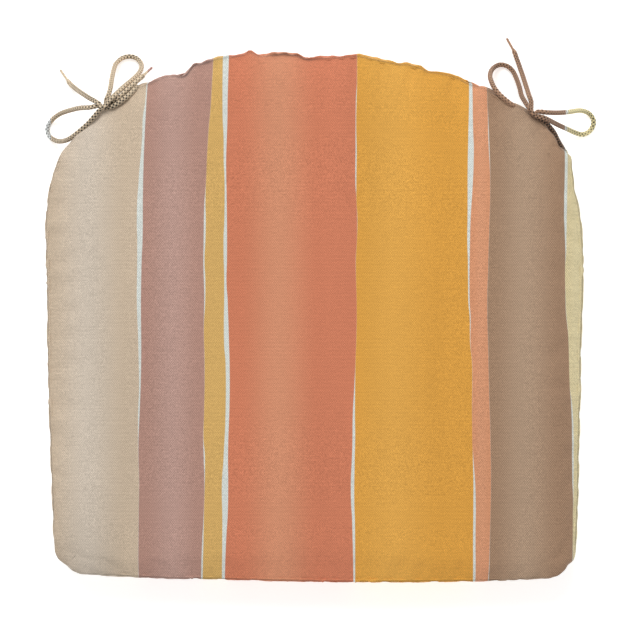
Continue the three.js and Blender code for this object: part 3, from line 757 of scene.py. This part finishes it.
def wander(outline):
    """Outward shift at each outline point."""
    marks = np.array(WANDER)
    gaps = np.linalg.norm(marks[:, None, :2] - outline.points[None], axis=2)
    where = outline.along[gaps.argmin(1)]
    order = np.argsort(where)
    fine = np.linspace(0, outline.length, 4000, endpoint=False)
    shift = np.interp(fine, where[order], marks[order, 2], period=outline.length)
    distance = np.minimum(fine, outline.length - fine)
    kernel = np.exp(-0.5 * (distance / WANDER_SMOOTHING) ** 2)
    shift = np.fft.irfft(np.fft.rfft(shift) * np.fft.rfft(kernel / kernel.sum()), len(fine))
    return np.interp(outline.along, fine, shift, period=outline.length)


def ring_noise(outline, longest, shortest, seed):
    """Smooth noise of about unit size round the outline, with wavelengths in that range."""
    chance = np.random.default_rng(seed)
    length = outline.length
    waves = np.arange(math.ceil(length / longest), int(length / shortest) + 1)
    total = np.zeros(outline.count)
    for wave in waves:
        size, phase = chance.normal(), chance.uniform(0, 2 * math.pi)
        total += size * np.sin(2 * math.pi * wave * outline.along / length + phase)
    return total / math.sqrt(len(waves) / 2)


# ---- The cover's shape before and after it swells ----

PAD_HEIGHT = 50
UPPER_SEAM, LOWER_SEAM = 45, 5
ZIP_HEIGHT = PAD_HEIGHT / 2
BACK_INSET, SIDE_INSET = 3.6, 1.2    # how far the band bulges past its seams
SWELL_REACH = 9                  # distance from a seam over which the band curves out
CROWN = 5.4                      # how far each face stands past its seam
CROWN_REACH = 15
LOWER_REACH = 12
LOWER_FOLLOWS = 0.45             # how much of the upper seam's wandering the lower one shares
LOWER_WANDER, LOWER_WAVES = 0.7, (260, 60)    # its own, with its longest and shortest wave
UPPER_RISE, LOWER_RISE, SEAM_WAVES = 0.35, 0.3, (150, 28)    # how far the seams go up and down
SHIFT_REACH = 40                 # the edge's wandering dies out over this distance from it
DOME = 2.2                       # slow extra rise towards the middle of the top
DOME_REACH = 70
START_SHARE = 0.72               # the cover starts this much smaller and is blown up
TOP_CAP, BAND_CAP = 2.6, 1.3     # how far the blowing up may move a point

TOP_RINGS = (0.7, 1.8, 3.6, 6, 9, 12.8)
BAND_LEVELS = (5.6, 6.9, 8.8, 11.6, 13.6, 15.4, 17.1, 18.8, 22, 25,
               28, 31.2, 32.9, 34.6, 36.4, 38.4, 41.2, 43.1, 44.4)
UPPER_SEAM_ROW = len(TOP_RINGS)  # counted from the top grid's edge
LOWER_SEAM_ROW = UPPER_SEAM_ROW + len(BAND_LEVELS) + 1
SWELL_FRAMES = 20
SWELL_SETTINGS = {
    "vertex_group_mass": "held", "quality": 6, "mass": 0.25, "tension_stiffness": 18,
    "compression_stiffness": 18, "shear_stiffness": 8, "bending_stiffness": 0.15,
    "use_pressure": True, "uniform_pressure_force": 4, "shrink_min": -0.012}


def seam_inset(outline):
    """How far the seams are inside the band's fullest line, the most along the back."""
    at_back = eased(np.clip((outline.points[:, 1] - 150) / 25, 0, 1))
    return SIDE_INSET + at_back * (BACK_INSET - SIDE_INSET)


def crown(distance, share):
    dome = DOME * (1 - np.exp(-distance / DOME_REACH))
    return share * (CROWN * rounded(distance / CROWN_REACH) + dome)


class Cushion:
    """The cover as rings and two grids of points, in millimetres."""

    def __init__(self, fine, share):
        self.outline = outline = Outline(fine)
        self.upper_shift = shift = wander(outline)
        inset = seam_inset(outline)
        slow = LOWER_WANDER * ring_noise(outline, *LOWER_WAVES, 11)
        lower_shift = np.minimum(LOWER_FOLLOWS * shift + slow, shift + 1.2)
        lift = UPPER_RISE * ring_noise(outline, *SEAM_WAVES, 5)
        drop = LOWER_RISE * ring_noise(outline, *SEAM_WAVES, 6)
        self.top, self.bottom, self.band = [], [], []
        for distance in (0, *TOP_RINGS):
            inside, fade = -inset - distance, math.exp(-distance / SHIFT_REACH)
            height = UPPER_SEAM + crown(distance, share) + lift * math.exp(-distance / 12)
            self.top.append(outline.ring(inside + shift * fade, height))
            height = LOWER_SEAM * (1 - rounded(distance / LOWER_REACH))
            height = np.maximum(height + drop * math.exp(-distance / 5), 0)
            self.bottom.append(outline.ring(inside + lower_shift * fade, height))
        for level in BAND_LEVELS:
            above, below = level - LOWER_SEAM, UPPER_SEAM - level
            blend = min(1, 1.6 * eased(above / (UPPER_SEAM - LOWER_SEAM)))
            moved = lower_shift + (shift - lower_shift) * blend
            reach = rounded(min(above, below) / SWELL_REACH)
            warp = lift * math.exp(-below / 10) + drop * math.exp(-above / 10)
            self.band.append(outline.ring(-inset * (1 - reach * share) + moved, level + warp))
        self.top_grid = outline.fill(self.top[-1])
        self.top_grid[..., 2] = UPPER_SEAM + crown(self.seam_distance(self.top_grid), share)
        self.top_grid[outline.edge] = self.top[-1]
        self.bottom_grid = outline.fill(self.bottom[-1])

    def seam_distance(self, grid):
        seam = self.top[0][:, :2]
        return np.array([
            np.sqrt(((column[:, None, :2] - seam[None]) ** 2).sum(2).min(1)) for column in grid])

    def rings(self):
        """Every ring from the top grid's edge over the band to the bottom grid's edge."""
        return self.top[::-1] + self.band[::-1] + self.bottom


def grid_faces(index):
    return np.stack([index[:-1, :-1], index[1:, :-1], index[1:, 1:], index[:-1, 1:]],
                    -1).reshape(-1, 4).tolist()


def bag(outline, top_grid, rings, low_grid=None):
    """Points and faces of a grid and the rings that follow outside its edge, closed by a second grid
    if there is one, and the points' numbers in the first grid and in each ring, edges included."""
    size = top_grid[..., 0].size
    index = np.arange(size).reshape(top_grid.shape[:2])
    ring_index = [index[outline.edge]]
    ring_index += list(size + np.arange(len(rings) * outline.count).reshape(-1, outline.count))
    points, faces = [top_grid.reshape(-1, 3), *rings], grid_faces(index)
    if low_grid is not None:
        points.append(low_grid.reshape(-1, 3))
        low_index = index + size + len(rings) * outline.count
        ring_index.append(low_index[outline.edge])
        faces += [face[::-1] for face in grid_faces(low_index)]
    for high, low in zip(ring_index, ring_index[1:]):
        faces += np.stack([low, np.roll(low, -1), np.roll(high, -1), high], 1).tolist()
    return np.vstack(points), faces, index, ring_index


def swell(cushion):
    """Blows the cover up with its seams held, and returns how far each grid and ring point moves."""
    points, faces, index, ring_index = bag(
        cushion.outline, cushion.top_grid, cushion.rings()[1:-1], cushion.bottom_grid)
    mesh = bpy.data.meshes.new("swelling")
    mesh.from_pydata((points * MM).tolist(), [], faces)
    obj = bpy.data.objects.new("swelling", mesh)
    scene.collection.objects.link(obj)
    bottom = np.arange(len(points) - index.size, len(points))
    held = np.concatenate([ring_index[UPPER_SEAM_ROW], ring_index[LOWER_SEAM_ROW], bottom])
    obj.vertex_groups.new(name="held").add(np.unique(held).tolist(), 1.0, "REPLACE")
    cloth = obj.modifiers.new("swell", "CLOTH")
    for setting, value in SWELL_SETTINGS.items():
        setattr(cloth.settings, setting, value)
    cloth.settings.effector_weights.gravity = 0
    cloth.collision_settings.use_collision = False
    cloth.point_cache.frame_start, cloth.point_cache.frame_end = 1, SWELL_FRAMES
    for frame_number in range(1, SWELL_FRAMES + 1):
        scene.frame_set(frame_number)
    done = obj.evaluated_get(bpy.context.evaluated_depsgraph_get()).data
    after = np.empty(len(mesh.vertices) * 3)
    done.vertices.foreach_get("co", after)
    moved = after.reshape(-1, 3) / MM - points
    scene.frame_set(1)
    bpy.data.objects.remove(obj)
    return moved[index], moved[np.array(ring_index)]


def capped(move, cap):
    size = np.linalg.norm(move, axis=-1, keepdims=True)
    return move * cap * np.tanh(size / cap) / np.maximum(size, 1e-9)


def doubled(values, axis, closed=False):
    """Values twice as close together along an axis."""
    values = np.moveaxis(values, axis, 0)
    following = np.roll(values, -1, 0)
    both = np.stack([values, (values + following) / 2], 1).reshape(-1, *values.shape[1:])
    return np.moveaxis(both if closed else both[:-1], 0, axis)


def make_cover_shape():
    fine = Cushion(2, START_SHARE)
    grid_move, ring_moves = swell(Cushion(1, START_SHARE))
    fine.top_grid += doubled(doubled(capped(grid_move, TOP_CAP), 0), 1)
    ring_moves = doubled(ring_moves, 1, closed=True)[:LOWER_SEAM_ROW]
    for row, (ring, move) in enumerate(zip(fine.rings(), ring_moves)):
        ring += capped(move, TOP_CAP if row < UPPER_SEAM_ROW else BAND_CAP)
    fine.top[-1][:] = fine.top_grid[fine.outline.edge]
    return fine


cover = make_cover_shape()
outline = cover.outline

# Small puckers, gathered by the seams' stitching: deeper along the zip and round the front corners.
PUCKER_REACH = 7
PUCKER_WAVES = (26, 9)
x, y = outline.points.T
near_back = np.exp(-((y - 225) / 30) ** 2)
near_corner = np.exp(-((np.abs(x) - 215) / 16) ** 2 - ((y + 213) / 16) ** 2)
pucker = 0.05 + 0.36 * near_back + 0.2 * near_corner
upper_puckers, lower_puckers = (pucker * ring_noise(outline, *PUCKER_WAVES, seed) for seed in (21, 22))
normals = np.column_stack([outline.normals, np.zeros(outline.count)])
for ring, level in zip(cover.band, BAND_LEVELS):
    size = (upper_puckers * math.exp((level - UPPER_SEAM) / PUCKER_REACH)
            + lower_puckers * math.exp((LOWER_SEAM - level) / PUCKER_REACH))
    ring += 1.5 * size[:, None] * normals
for ring, distance in zip(cover.top, (0, *TOP_RINGS)):
    ring[:, 2] += upper_puckers * (1 - math.exp(-distance / 1.5)) * math.exp(-distance / PUCKER_REACH)
cover.top_grid[outline.edge] = cover.top[-1]

# The seam sinks into a crease along parts of the back, where the cloth gets painted shade: (x, how
# deep, from 0 to 1).
BACK_CREASES = [(-150, 0.1), (-122, 0.15), (-110, 0.9), (-90, 0.8), (-84, 0.35), (-74, 0.5),
                (-55, 0.4), (-45, 0.1), (-34, 0.9), (-18, 1), (-3, 0.8), (6, 0.3), (130, 0.25),
                (150, 0.1)]
CREASE_DEPTH = 0.9
CREASE_REACH = 1.3
creases = np.clip((y - 190) / 12, 0, 1) * np.interp(x, *zip(*BACK_CREASES))
cover.top[0][:, 2] -= CREASE_DEPTH * creases


def creased(distance):
    """How deep in the seam's crease points at a distance from it are, which sets their painted shade.
    """
    return creases * np.exp(-(distance / CREASE_REACH) ** 2)


# The zip holds the edges of the two back bands in a shallow valley.
ZIP_EDGE = 6.2                   # from the zip's middle to each band's folded edge
ZIP_FOLD = -4
ZIP_REACH = 7
ZIP_FADE = 12                    # the valley runs out over this length at each end
back_run = (outline.along - outline.along[outline.back_start]) % outline.length
back_length = outline.along[outline.back_end] - outline.along[outline.back_start]
to_end = np.where(back_run < back_length, np.minimum(back_run, back_length - back_run), 0)
at_zip = np.clip(to_end / ZIP_FADE, 0, 1)

for ring, level in zip(cover.band, BAND_LEVELS):
    away = max(0, abs(level - ZIP_HEIGHT) - ZIP_EDGE)
    hold = eased(max(0, 1 - away / ZIP_REACH)) * eased(at_zip)
    ring += hold[:, None] * (outline.ring(ZIP_FOLD, level) - ring)

# ---- Cover panels ----

CLOTH = 0.9
ALLOWANCE = 2.6                  # how far a panel's edge is turned in at its seam
FOLD = 0.5
TURN_GAP = 0.03                  # how far apart the turned edges of two panels lie
BAND_GAP = 0.02


def turned_in(seam, side):
    """Two rings that carry a panel's edge inwards from its seam, just above or below it."""
    return [seam - reach * normals + (0, 0, side * TURN_GAP) for reach in (ALLOWANCE, FOLD)]


def padded_panel(name, points, faces, painted_crease_shade, node, flip=False):
    obj = thicken(add_mesh(name, points, faces, STRIPED, flip), CLOTH)
    point_attribute(obj, "painted_crease_shade", painted_crease_shade)
    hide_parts(node)


def cover_panel(name, rings, grid, side, node):
    """The cover's top (side 1) or bottom (side -1), from its rings listed inwards and its grid."""
    rings = (turned_in(rings[0], side) + rings[:-1])[::-1]
    points, faces, *_ = bag(outline, grid, rings)
    painted_crease_shade = [creased(distance) for distance in (0, 0, 0, *TOP_RINGS[:-1])][::-1]
    painted_crease_shade = np.concatenate([np.zeros(grid[..., 0].size), *painted_crease_shade])
    padded_panel(name, points, faces, painted_crease_shade, node, flip=side < 0)


cover_panel("seat_top_panel", cover.top, cover.top_grid, 1, "top_panel")
cover_panel("seat_bottom_panel", cover.bottom, cover.bottom_grid, -1, "bottom_panel")


def strip(name, rows, index, node):
    """A side band panel from rings listed upwards, along part of the outline."""
    faces = ring_faces(len(rows), len(index), closed=False)
    painted_crease_shade = np.concatenate([creased(cover.top[0][:, 2] - row[:, 2])[index] for row in rows])
    padded_panel(name, np.vstack([row[index] for row in rows]), faces, painted_crease_shade, node)


lower_edge = turned_in(cover.bottom[0], 1) + [cover.bottom[0] + (0, 0, BAND_GAP)]
upper_edge = [cover.top[0] - (0, 0, BAND_GAP)] + turned_in(cover.top[0], -1)[::-1]

# The upright seams where the side band meets the zip's bands.
JOIN_DIP = 1.1
JOIN_REACH = 2.2
for end in (outline.back_start, outline.back_end):
    gap = np.abs(outline.along - outline.along[end])
    dip = JOIN_DIP * np.exp(-(np.minimum(gap, outline.length - gap) / JOIN_REACH) ** 2)
    for ring in cover.band:
        ring -= dip[:, None] * normals

around_front = np.arange(outline.back_end, outline.back_start + outline.count + 1) % outline.count
along_back = np.arange(outline.back_start, outline.back_end + 1)
strip("seat_boxing_strip", lower_edge + cover.band + upper_edge, around_front, "boxing_strip")

# (outwards, towards the zip) from a band's fold inwards
HEM = [(-0.25, 0.3), (-0.9, 0.42), (-1.55, 0.3), (-1.8, -0.4), (-1.8, -2.6)]


def hem(ring, side):
    """Rings that fold a band's edge back behind itself, from its fold inwards."""
    return [ring + outward * normals - (0, 0, side * towards) for outward, towards in HEM]


upper_band = [ring for ring, level in zip(cover.band, BAND_LEVELS) if level > ZIP_HEIGHT + 6]
lower_band = cover.band[:len(upper_band)]
strip("zip_band_upper", hem(upper_band[0], 1)[::-1] + upper_band + upper_edge,
      along_back, "zip_strip_upper")
strip("zip_band_lower", lower_edge + lower_band + hem(lower_band[-1], -1),
      along_back, "zip_strip_lower")

# ---- Zip ----

TAPE_REACH = 18.6                # degrees each side of the middle
TAPE_PROFILE = [(-6, 0.35), (-5.95, 1.6), (-6.05, 2.6), (-6.05, 11.9), (-5.9, 12.3), (-6.15, 12.8),
                (-6.5, 12.8), (-6.7, 12.3), (-6.6, 11.9), (-6.6, 2.6), (-6.65, 1.6), (-6.5, 0.35)]
TAPE_STEPS = 150
TWILL_PITCH, TWILL_COLUMN = 0.8, 1.2
COIL_PITCH = 1.3
COIL_CENTRE = -4.6
COIL_HEIGHT = 2.1                # from the zip's middle to the middle of each coil
COIL_HALF = (0.7, 1.4)           # half its size outwards and upwards, to the middle of its wire
COIL_WIRE = 0.32
COIL_POINTS, WIRE_SIDES = 14, 6
STITCH, STITCH_GAP, THREAD = 2.5, 0.6, 0.22
STITCH_ROWS = (16.6, 33.4)
STITCH_POINTS, STITCH_SINK = 7, 0.25


def back_point(angle, outward, height):
    """A point on the back arc, at an angle in radians to the left of the middle."""
    radius = BACK_RADIUS + outward
    x, y = -radius * np.sin(angle), BACK_CENTRE_Y + radius * np.cos(angle)
    return np.stack(np.broadcast_arrays(x, y, height), -1)


def tape_material():
    shader = Shader("zip_tape_cloth", 0.85, srgb(186, 158, 126), Specular_IOR_Level=0.25)
    run = shader.math("ARCTAN2", shader.x, shader.math("SUBTRACT", shader.y, BACK_CENTRE_Y * MM))
    along = shader.math("MULTIPLY", run, BACK_RADIUS)
    column = shader.math("PINGPONG", shader.math("MULTIPLY", shader.z, 1 / MM), TWILL_COLUMN)
    phase = shader.math("MULTIPLY", shader.math("ADD", along, column), 2 * math.pi / TWILL_PITCH)
    twill = shader.math("SINE", phase)
    # Painted shade in the twill's grooves.
    shader.vary(twill, 0.78, 1.05, -1.0, 1.0)
    shader.vary(shader.noise(1500), 0.9, 1.06)
    shader.bump(twill, 0.5, 0.08)
    return shader.finish()


def plain_material(name, colour, roughness, grain, depth_mm, spread=0.1, **inputs):
    """A material whose tone, roughness and surface vary with one grain."""
    shader = Shader(name, roughness, colour, **inputs)
    speck = shader.noise(grain, detail=3)
    varied = shader.between(speck, 0.3, 0.7, roughness - 0.05, roughness + 0.07)
    shader.feed(shader.bsdf.inputs["Roughness"], varied)
    shader.bump(speck, 0.4, depth_mm)
    shader.vary(speck, 1 - spread, 1 + spread / 2)
    return shader.finish()


ZIP_CLOTH = tape_material()
COIL_NYLON = plain_material("zip_coil_nylon", srgb(172, 144, 112), 0.4, 1800, 0.03)
NICKEL = plain_material("zip_nickel", srgb(190, 186, 178), 0.34, 900, 0.02, 0.06, Metallic=0.9)
THREAD_FIBRE = plain_material("seam_thread", srgb(214, 200, 176), 0.7, 2500, 0.05)

reach = math.radians(TAPE_REACH)
turns = int(2 * reach * (BACK_RADIUS + COIL_CENTRE) / COIL_PITCH)
turn = np.linspace(0, 2 * math.pi * turns, turns * COIL_POINTS)
outward, away = np.array(TAPE_PROFILE).T
for name, side in (("upper", 1), ("lower", -1)):
    sweep = np.linspace(-reach, reach, TAPE_STEPS)[:, None]
    tape = add_tubes(f"zip_woven_tape_{name}", [back_point(sweep, outward, ZIP_HEIGHT + side * away)],
                     ZIP_CLOTH)
    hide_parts(f"zip_tape_{name}")
    outwards = COIL_CENTRE + COIL_HALF[0] * np.cos(turn)
    wire = back_point(np.linspace(-reach, reach, len(turn)), outwards,
                      ZIP_HEIGHT + side * (COIL_HEIGHT + COIL_HALF[1] * np.sin(turn)))
    rings = wire[:, None] + COIL_WIRE * unit_rings(wire, WIRE_SIDES)
    coil = add_tubes(f"zip_wound_coil_{name}", [rings], COIL_NYLON)
    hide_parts(f"zip_coil_{name}")

# A folded patch of the cover's cloth over each end of the zip: (name, way from the middle, degrees to
# its fold, outline point at the upright seam that it ends in).
PATCHES = [("left", 1, 13.4, outline.back_end), ("right", -1, 18.0, outline.back_start)]
PATCH_HALF, PATCH_CLOTH = 5.7, 0.8
PATCH_ROWS, PATCH_COLUMNS = 9, 11
PATCH_FOLD = [(0.1, -1.1), (0, -0.75), (0, -0.3), (0.08, 0)]    # (degrees past the fold, outwards)
join = math.degrees(JOIN_ANGLE)
rise = np.linspace(-1, 1, PATCH_ROWS)
for name, way, first, end in PATCHES:
    spots = [(first + past, sink) for past, sink in PATCH_FOLD]
    spots += [(angle, 0) for angle in np.linspace(first + 0.3, join - 0.02, PATCH_COLUMNS)]
    rows = []
    for angle, sink in spots:
        gone = (angle - first) / (join - first)
        outward = -2.5 + (cover.upper_shift[end] + 0.9) * gone ** 2 + sink - 0.7 * rise ** 4
        rows.append(back_point(way * math.radians(angle), outward, ZIP_HEIGHT + PATCH_HALF * rise))
    faces = ring_faces(len(rows), PATCH_ROWS, closed=False)
    patch = add_mesh(f"zip_end_patch_{name}", np.vstack(rows), faces, STRIPED,
                     flip=way < 0)
    point_attribute(thicken(patch, PATCH_CLOTH), "painted_crease_shade", np.zeros(len(rows) * PATCH_ROWS))
    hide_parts(f"zip_end_tab_{name}")

# Rows of stitches that hold the two back bands to the tapes.
stitched = along_back[4:-4]
run = outline.along[stitched]
bands = np.stack(cover.band)[:, stitched].reshape(len(BAND_LEVELS), -1)
share = np.linspace(0, 1, STITCH_POINTS)
above = 0.35 * np.sin(math.pi * share) ** 0.5 - STITCH_SINK
stitches = []
for height in STITCH_ROWS:
    row = resampled([height], BAND_LEVELS, bands).reshape(-1, 3)
    for start in np.arange(run[0], run[-1] - STITCH, STITCH + STITCH_GAP):
        at = start + STITCH * share
        middle = resampled(at, run, row) + resampled(at, run, normals[stitched]) * above[:, None]
        stitches.append(middle[:, None] + THREAD * unit_rings(middle, WIRE_SIDES))
add_tubes("zip_topstitching", stitches, THREAD_FIBRE)

for node in ("zip_slider", "zip_pull"):
    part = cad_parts[node]
    part.data.materials.clear()
    part.data.materials.append(NICKEL)
    bevel = part.modifiers.new("worn_edges", "BEVEL")
    bevel.width, bevel.segments = 0.3 * MM, 3

# ---- Filling ----

WADDING = 3.2
COVER_GAP = 4.2                  # between the cover's crown and the wadding
TUFT_WAVES = (60, 14)
GRID_EDGE = -18                  # from the outline to the flat middle of each sheet
# (outwards, up or down from the middle) and (outwards, height)
TRAY_RIM = [(-9.3, 0.2), (-9.1, 5), (-9.1, 11), (-9.4, 16), (-10.2, 19.2)]
UPPER_BEND, LOWER_BEND = [(-11.8, 45.2), (-14.4, 45.9)], [(-11.8, 3.8), (-14.4, 2.5)]
FOAM_SIDES = [(-15, 41.6), (-13.5, 39.6), (-13, 36), (-13, 25), (-13, 13), (-13.5, 8.6), (-15, 6.2)]


def fibre_material():
    shader = Shader("wadding_fibre", 0.95, srgb(240, 240, 236), Specular_IOR_Level=0.1,
                    Sheen_Weight=0.3)
    tuft = shader.noise(260, (1, 1, 3), 6)
    shader.bump(tuft, 0.8, 0.9)
    shader.vary(tuft, 0.86, 1.0)
    return shader.finish()


def foam_material():
    shader = Shader("open_cell_foam", 0.95, srgb(232, 224, 198), Specular_IOR_Level=0.1)
    cells = shader.node("ShaderNodeTexVoronoi", Vector=shader.place, Scale=900).outputs["Distance"]
    # Painted shade in the foam's open cells.
    shader.vary(cells, 0.72, 1.04, 0.0, 0.6)
    shader.bump(cells, 0.8, 0.5)
    return shader.finish()


small = Cushion(1, 1.0)
base = small.outline
dips = np.minimum(small.upper_shift, 0)
tufts = 0.3 * ring_noise(base, *TUFT_WAVES, 31)


def filling_ring(outward, height):
    return base.ring(outward + dips + tufts, height)


def filling_grid(height, below_crown=None):
    """A grid inside the filling's edge: flat, or domed like the cover's top and that far below it."""
    grid = base.fill(filling_ring(GRID_EDGE, height))
    if below_crown is not None:
        grid[..., 2] = UPPER_SEAM + crown(small.seam_distance(grid), 1.0) - below_crown
    return grid


def wadding_sheet(name, grid, bend, side, node):
    rings = [filling_ring(outward, ZIP_HEIGHT + side * away) for outward, away in TRAY_RIM]
    rings += [filling_ring(*place) for place in bend]
    points, faces, *_ = bag(base, grid, rings[::-1])
    sheet = thicken(add_mesh(name, points, faces, FIBRE, flip=side < 0), WADDING)
    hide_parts(node)


FIBRE = fibre_material()
wadding_sheet("wadding_sheet_top", filling_grid(46.4, COVER_GAP), UPPER_BEND, 1, "wadding_top")
wadding_sheet("wadding_sheet_bottom", filling_grid(1.7), LOWER_BEND, -1, "wadding_bottom")

foam_top = filling_grid(44, COVER_GAP + WADDING + 0.4)
foam_sides = [filling_ring(*place) for place in FOAM_SIDES]
points, faces, *_ = bag(base, foam_top, foam_sides, filling_grid(5.4))
foam = add_mesh("foam_slab", points, faces, foam_material())
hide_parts("foam_core")

# ---- Stage ----

FLOOR = 6                        # half its width
FLOOR_GAP = 0.0006


def floor_material():
    shader = Shader("pale_floor", 0.9, (0.93, 0.93, 0.925, 1), Specular_IOR_Level=0.1,
                    Emission_Color=(1, 1, 1, 1), Emission_Strength=0.5)
    shader.vary(shader.noise(3, detail=3), 0.985, 1.0)
    return shader.finish()


floor_mesh = bpy.data.meshes.new("floor")
corners = [(-FLOOR, -FLOOR, 0), (FLOOR, -FLOOR, 0), (FLOOR, FLOOR, 0), (-FLOOR, FLOOR, 0)]
floor_mesh.from_pydata(corners, [], [(0, 1, 2, 3)])
floor_mesh.materials.append(floor_material())
floor = bpy.data.objects.new("floor", floor_mesh)
floor.location.z = -FLOOR_GAP
scene.collection.objects.link(floor)

world = bpy.data.worlds.new("studio")
scene.world = world
world.use_nodes = True
background = world.node_tree.nodes["Background"].inputs
background["Color"].default_value = (1, 1, 1, 1)
background["Strength"].default_value = 0.42
scene.view_settings.view_transform = "Standard"


def softbox(name, place, size, power):
    lamp = bpy.data.objects.new(name, bpy.data.lights.new(name, "AREA"))
    lamp.data.size = size
    lamp.data.energy = power
    lamp.location = place
    lamp.rotation_euler = (-Vector(place)).to_track_quat("-Z", "Y").to_euler()
    lamp.visible_camera = False
    scene.collection.objects.link(lamp)


softbox("key_from_back", (-0.5, 1.9, 2.4), 1.6, 56)
softbox("fill_from_front", (0.6, -1.8, 2.6), 2.0, 18)
